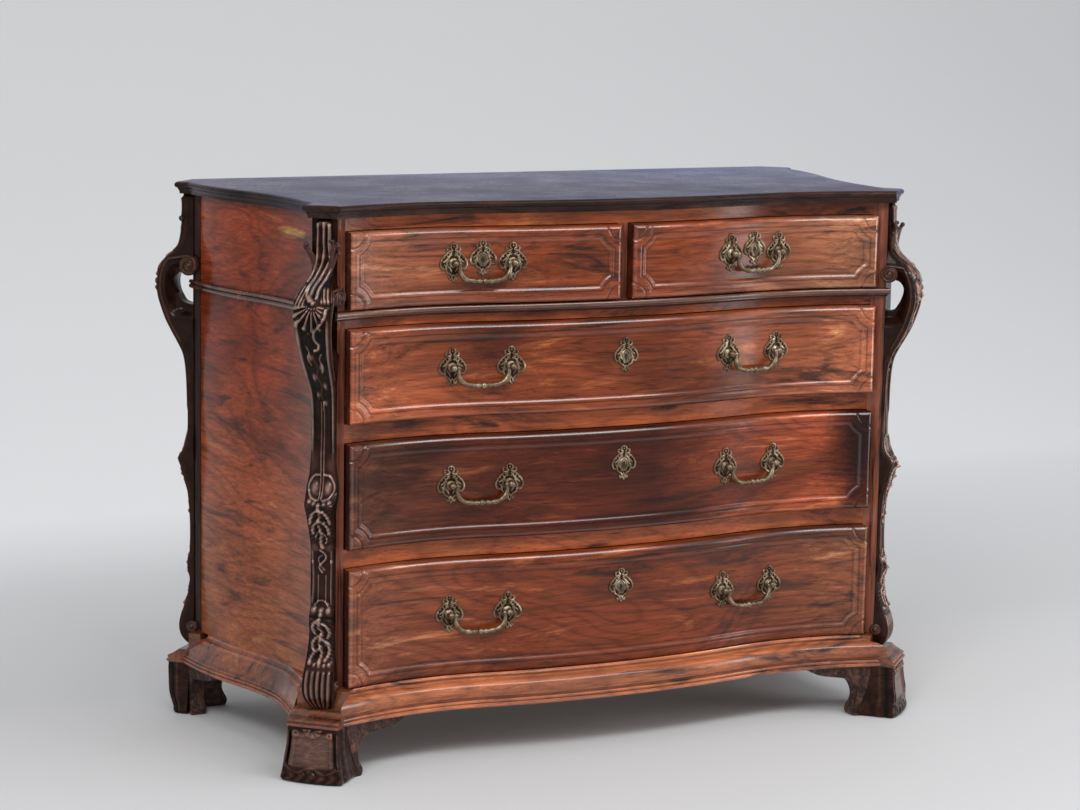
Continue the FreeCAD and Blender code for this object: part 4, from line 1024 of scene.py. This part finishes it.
def foot_relief(w, z, half):
    """Carving on the front of a foot: a sunk panel between stiles, a leaf at its top and a scalloped toe."""
    share = abs(w) / half
    panel = window(z, 27, 91, 5)
    relief = -1.5 * panel * (1 - smooth_step(share, 0.64, 0.69))
    stile = 1.1 * hump(share, 0.75, 0.07) - 3.0 * hump(share, 0.855, 0.07) + 0.8 * hump(share, 0.95, 0.06)
    relief += panel * stile
    chevron = z - 70 + 0.55 * (16 - abs(w))
    relief += 0.9 * hump(chevron, 0, 2.4) * (1 - smooth_step(abs(w), 14, 22)) * panel
    reach = np.hypot(w, 94 - z)
    angle = np.arctan2(w, 94.5 - z)
    relief += window(reach, 3, 19, 4) * (2.6 + 1.2 * np.cos(angle * 9)) * (z < 93)
    for spot in (-31, 31):
        relief += 2.4 * hump(np.hypot(w - spot, z - 84), 4, 4)
    scallops = np.abs(np.cos(w * math.pi / 19.0 + 0.5 * np.sin(z * 0.35)))
    toe_top = 24 + 4.5 * np.cos(w * math.pi / 26.0)
    toe = smooth_step(z, 2, 6) * (1 - smooth_step(z, toe_top - 6, toe_top + 1))
    return relief + toe * (2.0 * scallops - 1.2) + hump(z, toe_top - 1.0, 3.0)


def soften(grid, passes):
    """The same grid with every value drawn towards its neighbours."""
    for _ in range(passes):
        beside = np.roll(grid, 1, 0) + np.roll(grid, -1, 0) + np.roll(grid, 1, 1) + np.roll(grid, -1, 1)
        grid = (grid + beside) / 5
    return grid


def cavity_shade(relief, middle, contrast, lift):
    """Painted shade in hollows and painted highlight on ridges, both fine and broad."""
    fine = soften(relief, 8)
    broad = 0.6 * (fine - soften(fine, 60))
    return np.clip(middle + contrast * (relief - fine + broad) + lift * relief, 0.0, 1.0)


def face_grid(heights, width_of, columns):
    """Grids of the place across and the height over a face, with its half widths and shares of them."""
    halves = np.array([width_of(z) for z in heights])
    across = np.linspace(-1.0, 1.0, columns)
    w = halves[:, None] * across[None, :]
    return halves, across, w, heights[:, None] + 0.0 * w


def feet():
    columns = 73
    flank_steps = 20
    rows = 71
    heights = FOOT_HEIGHT * np.arange(rows + 1) / rows
    halves, across, w, z = face_grid(heights, FOOT_WIDTH, columns)
    relief = foot_relief(w, z, halves[:, None])
    field = window(z, 26, 90, 6) * (1 - smooth_step(np.abs(across)[None, :], 0.66, 0.74))
    # Painted shade in the carving's hollows and painted highlight on its ridges; the sunk panel is paler,
    # its own brown wood.
    shade = np.clip(cavity_shade(relief, 0.34, 0.20, 0.03) + 0.42 * field, 0.0, 1.0)
    round_off = 2.4 * np.clip((np.abs(across) - 0.93) / 0.07, 0.0, 1.0) ** 2
    bow = np.abs(across) ** 2.4
    for corner in CORNERS:
        shape = Shape()
        rings = []
        shades = []
        for row, height in enumerate(heights):
            reach = FOOT_REACH[end_of(corner)](height)
            bowed = FOOT_BOW * (1 - smooth_step(height, 6, 44))
            face = reach + relief[row] - round_off - bowed * bow
            ring = [corner_point(corner, w[row, k], face[k], height) for k in range(columns)]
            tones = list(shade[row])
            edge = reach - 2.0 - bowed
            order = range(1, flank_steps + 1)
            for side, turns in ((1, order), (-1, reversed(order))):
                for k in turns:
                    t = edge - (edge + FOOT_BACK) * k / flank_steps
                    groove = 1.8 * hump(k, 4, 2.2) - 0.9 * hump(k, 8, 2.0)
                    toe = window(height, 3, 24, 6) * (1.4 * abs(math.cos(t * math.pi / 15.0)) - 1.2)
                    ring.append(corner_point(corner, side * (halves[row] - groove + toe), t, height))
                    # Painted shade in the groove along the flank.
                    tones.append(0.36 - 0.14 * groove + 0.1 * toe)
            rings.append(ring)
            shades.append(tones)
        shape.loft(rings, shades)
        make_piece(f"carved_foot_{corner}", shape, FOOT_WOOD, "carcass",
                   (f"foot_{corner}",), sharp_degrees=60.0)


# Carved scroll pilasters
def from_top(table):
    """Curve over height from (value, distance below the case's top) pairs."""
    return smooth_table([(CASE_TOP - drop, value) for value, drop in reversed(table)])


PILASTER_REACH = from_top((
    (-8, 0), (-9, 14), (-9, 30), (-8, 42), (-8, 55), (-6, 75), (2, 95), (18, 110), (30, 125), (37, 140),
    (41, 156), (42, 172), (40, 190), (35, 208), (27, 231), (16, 253), (5, 273), (-3, 290), (-7, 310),
    (-9, 340), (-10, 390), (-10, 440), (-6, 460), (1, 472), (10, 486), (6, 502), (0, 525), (-6, 550),
    (-10, 585), (-10, 635), (-8, 660), (-3, 678), (-4, 692), (-8, 710), (-5, 734), (2, 759), (9, 781),
    (12, 799), (9, 817), (1, 829), (-8, 838),
))
PILASTER_WIDTH = from_top((
    (8, 0), (12, 5), (13.5, 12), (14, 49), (16, 79), (24, 109), (33, 130), (33, 160), (31, 198), (26, 259),
    (22, 311), (22, 388), (25, 430), (29, 459), (24, 500), (20, 576), (19, 634), (21, 665), (22, 690),
    (25, 744), (28, 790), (27, 812), (23, 827), (16, 838),
))
OPENING_LOW = 757.0
OPENING_HIGH = 818.0
OPENING_EDGE = smooth_table((
    (OPENING_LOW, -16), (759, -8), (762, -1), (770, 5), (780, 10.5), (790, 14.5), (799, 16.5), (806, 14.5),
    (811, 10), (815, 3), (817, -7), (OPENING_HIGH, -16),
))
REAR_LEAN = 14.0
REAR_TONGUE = 5.0
VOLUTE_PLACE = {"front": (-9.0, 828.0, 15.5), "rear": (-25.0, 829.0, 18.0)}
VOLUTE_START = math.radians(75)
VOLUTE_TURNS = 1.9
VOLUTE_STEPS = 46
VOLUTE_ACROSS = 32.6
VOLUTE_BUTTON_BASE = 21.0
TOE_BUTTON_BASE = 17.0
TOE_BUTTON = (4.0, 160.0, 11.0)
BELLY_LEVELS = range(690, 841, 6)
BORDER_SET_BACK = 9.0
BORDER_INSET = 0.8


def pilaster_reach(end, z):
    """Distance of the plain scroll beyond the ear; rear ones lean in at the foot and out at the top."""
    if end == "front":
        return PILASTER_REACH(z)
    lean = REAR_LEAN * (CASE_TOP - z) / (CASE_TOP - PILASTER_FLOOR)
    return PILASTER_REACH(z) - lean + REAR_TONGUE * smooth_step(z, 850, 890)


# Carved ribs: height, half width and the line of each, as (across, height) points
RIBS = (
    (3.0, 4.4, ((20, 908), (14, 893), (7, 876), (0, 860), (-5, 846), (-6, 833), (0, 823))),
    (3.4, 4.2, ((1, 951), (1, 925), (2, 906), (0, 886), (-6, 868), (-12, 852), (-13, 838), (-7, 825))),
    (3.2, 3.8, ((-10, 948), (-10, 925), (-10, 904), (-11, 886), (-15, 868), (-20, 856))),
    (3.2, 3.8, ((10, 948), (10, 925), (11, 908), (13, 896))),
    (2.8, 3.8, ((21, 888), (15, 872), (9, 856), (5, 842), (5, 830))),
    (3.4, 3.8, ((25, 812), (23, 800), (17, 788), (9, 780), (3, 771), (4, 760), (10, 752),
                (8, 744), (2, 742))),
    (1.0, 2.4, ((2, 744), (-3, 728), (2, 712), (-3, 696), (2, 680), (-2, 664), (1, 650), (0, 636))),
    (1.8, 2.4, ((-13, 748), (-9, 738), (-13, 728), (-9, 716))),
    (1.8, 2.4, ((12, 736), (8, 726), (12, 714), (8, 702))),
    (3.0, 5.2, ((0, 476), (2, 460), (-2, 444), (2, 428), (0, 412), (2, 402))),
    (2.8, 4.4, ((0, 468), (-9, 462), (-15, 452), (-17, 444))),
    (2.8, 4.4, ((0, 468), (9, 464), (15, 456), (18, 448))),
    (2.6, 4.2, ((0, 450), (-8, 444), (-13, 434), (-13, 426))),
    (2.6, 4.2, ((0, 448), (8, 444), (14, 436), (15, 426))),
    (2.0, 2.6, ((1, 432), (-6, 426), (-9, 418))),
    (2.0, 2.6, ((1, 430), (8, 424), (11, 416), (8, 410))),
    (2.4, 2.8, ((-2, 396), (6, 390), (7, 382), (0, 374), (-5, 366), (0, 358))),
    (1.8, 2.2, ((1, 388), (-6, 382), (-4, 372), (4, 362))),
    (1.8, 2.2, ((-12, 301), (-7, 307), (0, 309), (7, 307), (12, 301))),
    (3.0, 5.4, ((0, 284), (-4, 268), (2, 252), (-3, 236), (3, 220), (0, 204))),
    (2.8, 4.6, ((-2, 276), (-11, 270), (-15, 260), (-11, 252))),
    (2.8, 4.6, ((0, 270), (9, 266), (15, 256), (12, 246))),
    (2.8, 4.6, ((0, 250), (-9, 244), (-15, 234), (-13, 224))),
    (2.8, 4.6, ((0, 242), (10, 238), (16, 228), (15, 216), (10, 208))),
    (2.6, 4.2, ((-2, 226), (-10, 220), (-16, 210), (-17, 202))),
)
PAIRED_RIBS = (
    (1.6, 2.0, ((2.5, 650), (2.5, 540), (2.0, 486))),
    (2.2, 2.6, ((4, 526), (14, 524), (22, 512), (23, 500), (16, 488), (5, 484))),
    (1.4, 1.8, ((7, 352), (7, 306))),
)
# Knobs and small leaves: across, height, half width, half height and how far they rise
KNOBS = (
    (0, 820, 5, 4, 2.6), (-6, 813, 3, 3, 2.0), (-1, 812, 3, 3, 2.0), (4, 813, 3, 3, 2.0),
    (9, 815, 3, 3, 2.0), (24, 806, 4, 4, 2.4), (21, 796, 4, 4, 2.4), (15, 787, 4, 4, 2.4),
    (-22, 792, 4, 4, 2.0), (-15, 780, 4, 4, 2.0), (-7, 771, 4, 4, 2.0), (9, 746, 4, 4, 2.2),
    (-8, 730, 7, 12, 3.6), (9, 712, 7, 12, 3.6), (-8, 694, 7, 12, 3.4), (8, 678, 6, 11, 3.2),
    (-7, 662, 6, 10, 3.0), (6, 648, 5, 9, 2.6), (0, 478, 5, 6, 3.2), (-18, 441, 4, 5, 2.0),
    (18, 445, 4, 5, 2.0), (-17, 375, 4, 5, 3.0), (17, 377, 4, 5, 3.0), (0, 292, 7, 8, 3.4),
    (-8, 260, 7, 8, 1.6), (7, 234, 7, 9, 1.8), (0, 198, 5, 6, 2.2),
)
PAIRED_KNOBS = (
    (12, 504, 11, 18, 3.4), (18, 482, 5, 6, 3.0), (9, 479, 5, 6, 3.0), (13, 293, 7, 8, 3.2),
    (18, 201, 5, 6, 2.2), (9, 199, 5, 6, 2.2),
)
RIB_RISE = 1.4
RIB_SPREAD = 1.15


def carved_rib(u, z, line, reach):
    """Rounded ridge of height one along a smooth line."""
    stops = spline_points([(a, b, 0) for a, b in line], 4)
    nearest = np.full(u.shape, 1000.0)
    for first, last in zip(stops, stops[1:]):
        along = last - first
        share = ((u - first.x) * along.x + (z - first.y) * along.y) / max(along.length_squared, 0.01)
        share = np.clip(share, 0.0, 1.0)
        nearest = np.minimum(nearest, np.hypot(u - first.x - share * along.x, z - first.y - share * along.y))
    return hump(nearest, 0.0, reach)


def pilaster_relief(u, z, half):
    """Height of the carving above the plain scroll; u is across, towards the drawers."""
    v = u / half
    a = np.abs(v)
    relief = -2.6 * a ** 6
    # Tongue, then the reeds beside the shell
    relief -= 1.8 * window(z, 893, 952, 10)
    relief -= 5.0 * smooth_step(z, 948, 959) ** 2
    relief -= 1.4 * window(z, 824, 900, 12)
    for sign, low, high in ((-1, 812, 854), (1, 818, 850)):
        side = smooth_step(sign * v, 0.36, 0.5) * window(z, low, high, 8)
        relief += side * (2.6 + 1.7 * np.cos((u + sign * 0.3 * (z - 832)) * 2 * math.pi / 6.4))
    # Shell that fans out over the belly
    drop = 818.0 - z
    angle = np.arctan2(u, np.maximum(drop, 0.001))
    fan = window(np.hypot(u, drop), 8, 48, 6) * (drop > 1) * smooth_step(-u, -24, -14)
    relief += fan * (4.6 * (0.5 + 0.5 * np.cos(angle * 18.0)) - 0.4)
    # Sunk field with raised borders down to the cabochon
    field = smooth_step(z, 536, 610) * (1 - smooth_step(z, 786, 814))
    relief -= 3.8 * field * (1 - smooth_step(a, 0.68, 0.80))
    relief += 1.4 * window(z, 560, 800, 12) * hump(a, 0.88, 0.12)
    # Leaves, lower field, second leaves and the fluted toe
    relief -= 1.2 * window(z, 402, 476, 10)
    relief += 1.4 * window(z, 300, 400, 8) * hump(a, 0.86, 0.12)
    relief -= 1.4 * window(z, 300, 398, 8) * (1 - smooth_step(a, 0.66, 0.78))
    relief -= 1.8 * hump(z, 281, 4)
    relief -= 1.2 * window(z, 202, 280, 10)
    relief += 0.6 * np.cos(0.9 * z + 0.55 * u) * window(z, 204, 280, 10)
    relief += 0.6 * np.cos(0.9 * z - 0.5 * u) * window(z, 404, 474, 10)
    relief += window(z, 117, 192, 8) * (3.4 * np.abs(np.cos(v * 8.6)) - 1.9)
    ribs = list(RIBS)
    knobs = list(KNOBS)
    for side in (-1, 1):
        for height, width, line in PAIRED_RIBS:
            ribs.append((height, width, [(side * x, level) for x, level in line]))
        knobs += [(side * x, *others) for x, *others in PAIRED_KNOBS]
    for height, width, line in ribs:
        relief += RIB_RISE * height * carved_rib(u, z, line, RIB_SPREAD * width)
    for across, level, wide, tall, height in knobs:
        relief += height * hump(np.hypot((u - across) / wide, (z - level) / tall), 0.0, 1.0)
    return relief


def flank_scroll(shape, corner, side):
    """Raised border along the flank of the belly that curls into a volute beside the post."""
    end = end_of(corner)
    centre_t, centre_z, radius = VOLUTE_PLACE[end]
    line = [(pilaster_reach(end, z) - BORDER_SET_BACK, z, PILASTER_WIDTH(z) - BORDER_INSET)
            for z in BELLY_LEVELS]
    for k in range(VOLUTE_STEPS + 1):
        share = k / VOLUTE_STEPS
        angle = VOLUTE_START + 2 * math.pi * VOLUTE_TURNS * share
        reach = radius * (1 - 0.84 * share)
        line.append((centre_t + reach * math.cos(angle), centre_z + reach * math.sin(angle), VOLUTE_ACROSS))
    path = [corner_point(corner, side * w, t, z) for t, z, w in line]
    shape.tube(path, [1.5 + 0.9 * smooth_step(k, 8, 30) for k in range(len(path))], 9)
    button(shape, corner, side, VOLUTE_BUTTON_BASE, centre_t, centre_z, radius)
    toe_out, toe_z, toe_radius = TOE_BUTTON
    button(shape, corner, side, TOE_BUTTON_BASE, toe_out - POST_INSET[end], toe_z, toe_radius)


BUTTON_MIDDLE = ((10.8, 5), (11.8, 4), (13.2, 2.4), (13.6, 0.1))


def button(shape, corner, side, base, t, z, radius):
    """Turned button on the flank of a pilaster, round which a scroll winds."""
    hub = corner_point(corner, side * base, t, z)
    out = corner_point(corner, side * (base + 1.0), t, z) - hub
    rim = ((0, radius - 2), (0.5, radius), (9.8, radius), (10.8, radius - 1.5), (11.4, radius - 4))
    shape.lathe(hub, out, rim + BUTTON_MIDDLE, 32)


# Leaves that curl off the tongue of a front pilaster: thickness and stem, as (across, out, height) points
LEAF_CURLS = (
    (4.6, ((-8, -9, 864), (-14, -8, 880), (-20, -6, 895), (-26, -4, 906), (-30, -2, 911),
           (-30, 0, 915), (-27, 1, 915))),
    (3.6, ((-10, -9, 880), (-15, -8, 892), (-21, -6, 902), (-25, -4, 908))),
    (4.6, ((9, -9, 862), (14, -8, 880), (18, -6, 898), (23, -4, 912), (28, -2, 919),
           (31, 0, 919), (31, 1, 915))),
    (3.8, ((10, -9, 878), (14, -8, 894), (18, -5, 908), (21, -3, 918), (20, -1, 923), (17, 0, 922))),
    (3.4, ((13, -9, 872), (20, -8, 888), (26, -6, 899), (31, -4, 905), (32, -2, 901))),
)


def leaf_curl(shape, corner, sign, stem, thickness):
    """Curled leaf with a knob that stands off the tongue of a pilaster."""
    path = [corner_point(corner, sign * p.x, p.y, p.z) for p in spline_points(stem, 6)]
    count = len(path) - 1
    shape.tube(path, [thickness * (1.25 - 0.75 * k / count) for k in range(count + 1)], 10)
    shape.ball(path[-1], 0.95 * thickness)


FLANK_SHARES = (0.03, 0.10, 0.20, 0.35, 0.50, 0.65, 0.80, 0.92, 1.0)
FLANK_TAPER = 0.62
BACKING_HALF_WIDTH = 23.0
BACKING_THICKNESS = 0.8
# Painted shade on the dark sheet behind each pilaster, in the recess at the post.
BACKING_SHADE = 0.2
KNOB_PLACE = (15.0, -5.0, 913)
KNOB_RADIUS = 5.4


def pilaster(corner):
    end = end_of(corner)
    sign = 1 if corner in ("front_left", "rear_right") else -1
    columns = 57
    rows = 500
    heights = np.linspace(PILASTER_FLOOR, CASE_TOP, rows + 1)
    halves, across, w, z = face_grid(heights, PILASTER_WIDTH, columns)
    relief = pilaster_relief(sign * w, z, halves[:, None])
    # Painted shade in the carving's hollows and painted highlight on its ridges.
    shade = cavity_shade(relief, 0.46, 0.24, 0.05)
    post_face = -POST_INSET[end]
    shape = Shape()
    rings = []
    shades = []
    for row, height in enumerate(heights):
        reach = pilaster_reach(end, height)
        behind = post_face
        if OPENING_LOW < height < OPENING_HIGH:
            behind = max(behind, OPENING_EDGE(height) + reach - PILASTER_REACH(height))
        face = np.maximum(reach + relief[row], behind + 1.5)
        ring = [corner_point(corner, w[row, k], face[k], height) for k in range(columns)]
        tones = list(shade[row])
        taper = FLANK_TAPER * window(height, 728, 842, 22)
        edge = max(reach - 2.6, behind + 1.2)
        for side, order in ((1, FLANK_SHARES), (-1, FLANK_SHARES[::-1])):
            for share in order:
                depth = (edge - behind) * share
                sunk = 1.3 * smooth_step(depth, 5, 9)
                narrow = 1 - taper * smooth_step(depth, 10, 30)
                ring.append(corner_point(corner, side * (halves[row] - sunk) * narrow, edge - depth, height))
                # Painted shade where the flank is sunk.
                tones.append(0.40 - 0.12 * sunk)
        rings.append(ring)
        shades.append(tones)
    shape.loft(rings, shades)
    # Thin dark sheet on the post's face behind the pilaster: painted shade in the recess.
    backing_face = post_face + BACKING_THICKNESS
    backing = [(-BACKING_HALF_WIDTH, post_face), (BACKING_HALF_WIDTH, post_face),
               (BACKING_HALF_WIDTH, backing_face), (-BACKING_HALF_WIDTH, backing_face)]
    levels = [[corner_point(corner, u, t, level) for u, t in backing] for level in (BASE_TOP, CASE_TOP)]
    shape.loft(levels, [[BACKING_SHADE] * len(backing)] * len(levels))
    for side in (-1, 1):
        flank_scroll(shape, corner, side)
    if end == "front":
        for thickness, stem in LEAF_CURLS:
            leaf_curl(shape, corner, sign, stem, thickness)
    else:
        for side in (-1, 1):
            shape.ball(corner_point(corner, side * KNOB_PLACE[0], *KNOB_PLACE[1:]), KNOB_RADIUS)
    make_piece(f"carved_pilaster_{corner}", shape, CARVED, "carcass",
               (f"pilaster_{corner}",), sharp_degrees=70.0)


def dress_solids():
    """Looks of the solids; those that show and aren't named here are rails."""
    looks = {
        "drawer_divider": POST_WOOD, "foot_brackets": BRACKET_WOOD, "back_boards": INNER_Z,
        "rear_rails": INNER_X, "drawer_runners": INNER_Y, "drawer_guides": INNER_Y,
        "dust_boards": INNER_X, "bottom_board": INNER_X,
    }
    for node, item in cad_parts.items():
        look = looks.get(node, RAIL_WOOD)
        if node.startswith("corner_post_front"):
            look = POST_WOOD
        elif node.startswith("corner_post_rear"):
            look = REAR_POST_WOOD
        elif node.endswith("_box"):
            look = INNER_Y
        elif node.startswith("drawer_") and node.endswith("_bottom"):
            look = INNER_X
        item.data.materials.clear()
        item.data.materials.append(look)


# Stage, lights and camera
def backdrop():
    """Floor that sweeps up into a wall; the wall is clear when it is looked at from behind."""
    n = Nodes("pale_backdrop")
    # Painted light: the backdrop is paler where the floor bends up than on the floor before the chest and on
    # the wall.
    tones = ((0.0, 0.63), (0.55, 0.88), (1.0, 0.67))
    n.fill(n.shader, {"Base Color": n.ramp(n.along(1, 0.4, 3.2), tones), "Roughness": 0.75})
    from_behind = n.add("ShaderNodeMixShader", {
        0: n.add("ShaderNodeNewGeometry").outputs["Backfacing"],
        1: n.shader.outputs[0],
        2: n.add("ShaderNodeBsdfTransparent").outputs[0],
    })
    n.fill(n.tree.nodes["Material Output"], {"Surface": from_behind.outputs[0]})
    bend = 1500.0
    back = 3200.0
    half_width = 20000.0
    steps = 12
    profile = [(-9000.0, 0.0), (back - bend, 0.0)]
    for k in range(1, steps + 1):
        angle = math.pi / 2 * k / steps
        profile.append((back - bend + bend * math.sin(angle), bend - bend * math.cos(angle)))
    profile.append((back, 7000.0))
    shape = Shape()
    shape.grid([[(x, y, z) for x in (-half_width, half_width)] for y, z in profile])
    mesh = bpy.data.meshes.new("backdrop")
    mesh.from_pydata([p * MM for p in shape.points], [], shape.faces)
    mesh.shade_smooth()
    mesh.materials.append(n.material)
    item = bpy.data.objects.new("backdrop", mesh)
    scene.collection.objects.link(item)


def lamp(name, place, aim, width, height, power):
    light = bpy.data.lights.new(name, "AREA")
    light.shape = "RECTANGLE"
    light.size = width
    light.size_y = height
    light.energy = power
    item = bpy.data.objects.new(name, light)
    item.location = place
    item.rotation_euler = (Vector(aim) - Vector(place)).to_track_quat("-Z", "Y").to_euler()
    scene.collection.objects.link(item)


def lights():
    lamp("key_light", (-2.6, -3.2, 3.4), (0.0, 0.0, 0.5), 1.6, 1.2, 85.0)
    lamp("top_light", (0.6, -2.6, 3.2), (0.1, -0.2, 0.4), 3.2, 0.8, 55.0)
    lamp("right_fill", (3.0, -1.9, 0.9), (0.0, -0.2, 0.5), 1.6, 1.5, 34.0)
    world = bpy.data.worlds.new("soft_room")
    world.use_nodes = True
    room = world.node_tree.nodes["Background"]
    room.inputs["Color"].default_value = (0.80, 0.82, 0.86, 1.0)
    room.inputs["Strength"].default_value = 0.72
    scene.world = world


def camera():
    """Camera fitted to the photograph: its place, direction, tilt and focal length."""
    yaw = math.radians(26.51)
    pitch = math.radians(9.17)
    roll = math.radians(0.98)
    place = Vector((-2.3734, -4.6974, 1.4240))
    focal_pixels = 2890.7
    photo_width = 1080.0
    right = Vector((math.cos(yaw), -math.sin(yaw), 0))
    ahead = Vector((math.sin(yaw) * math.cos(pitch), math.cos(yaw) * math.cos(pitch), -math.sin(pitch)))
    up = right.cross(ahead)
    across = right * math.cos(roll) + up * math.sin(roll)
    upright = up * math.cos(roll) - right * math.sin(roll)
    data = bpy.data.cameras.new("camera")
    data.sensor_width = 36.0
    data.sensor_fit = "HORIZONTAL"
    data.lens = data.sensor_width * focal_pixels / photo_width
    data.clip_end = 60.0
    item = bpy.data.objects.new("camera", data)
    turn = Matrix((across, upright, -ahead)).transposed().to_4x4()
    item.matrix_world = Matrix.Translation(place) @ turn
    scene.collection.objects.link(item)
    scene.camera = item


camera()
lights()
backdrop()
dress_solids()
drawers()
mouldings()
side_panels()
top_board()
corner_blocks()
feet()
for corner_name in CORNERS:
    pilaster(corner_name)
scene.view_settings.view_transform = "Standard"

bpy.context.view_layer.update()
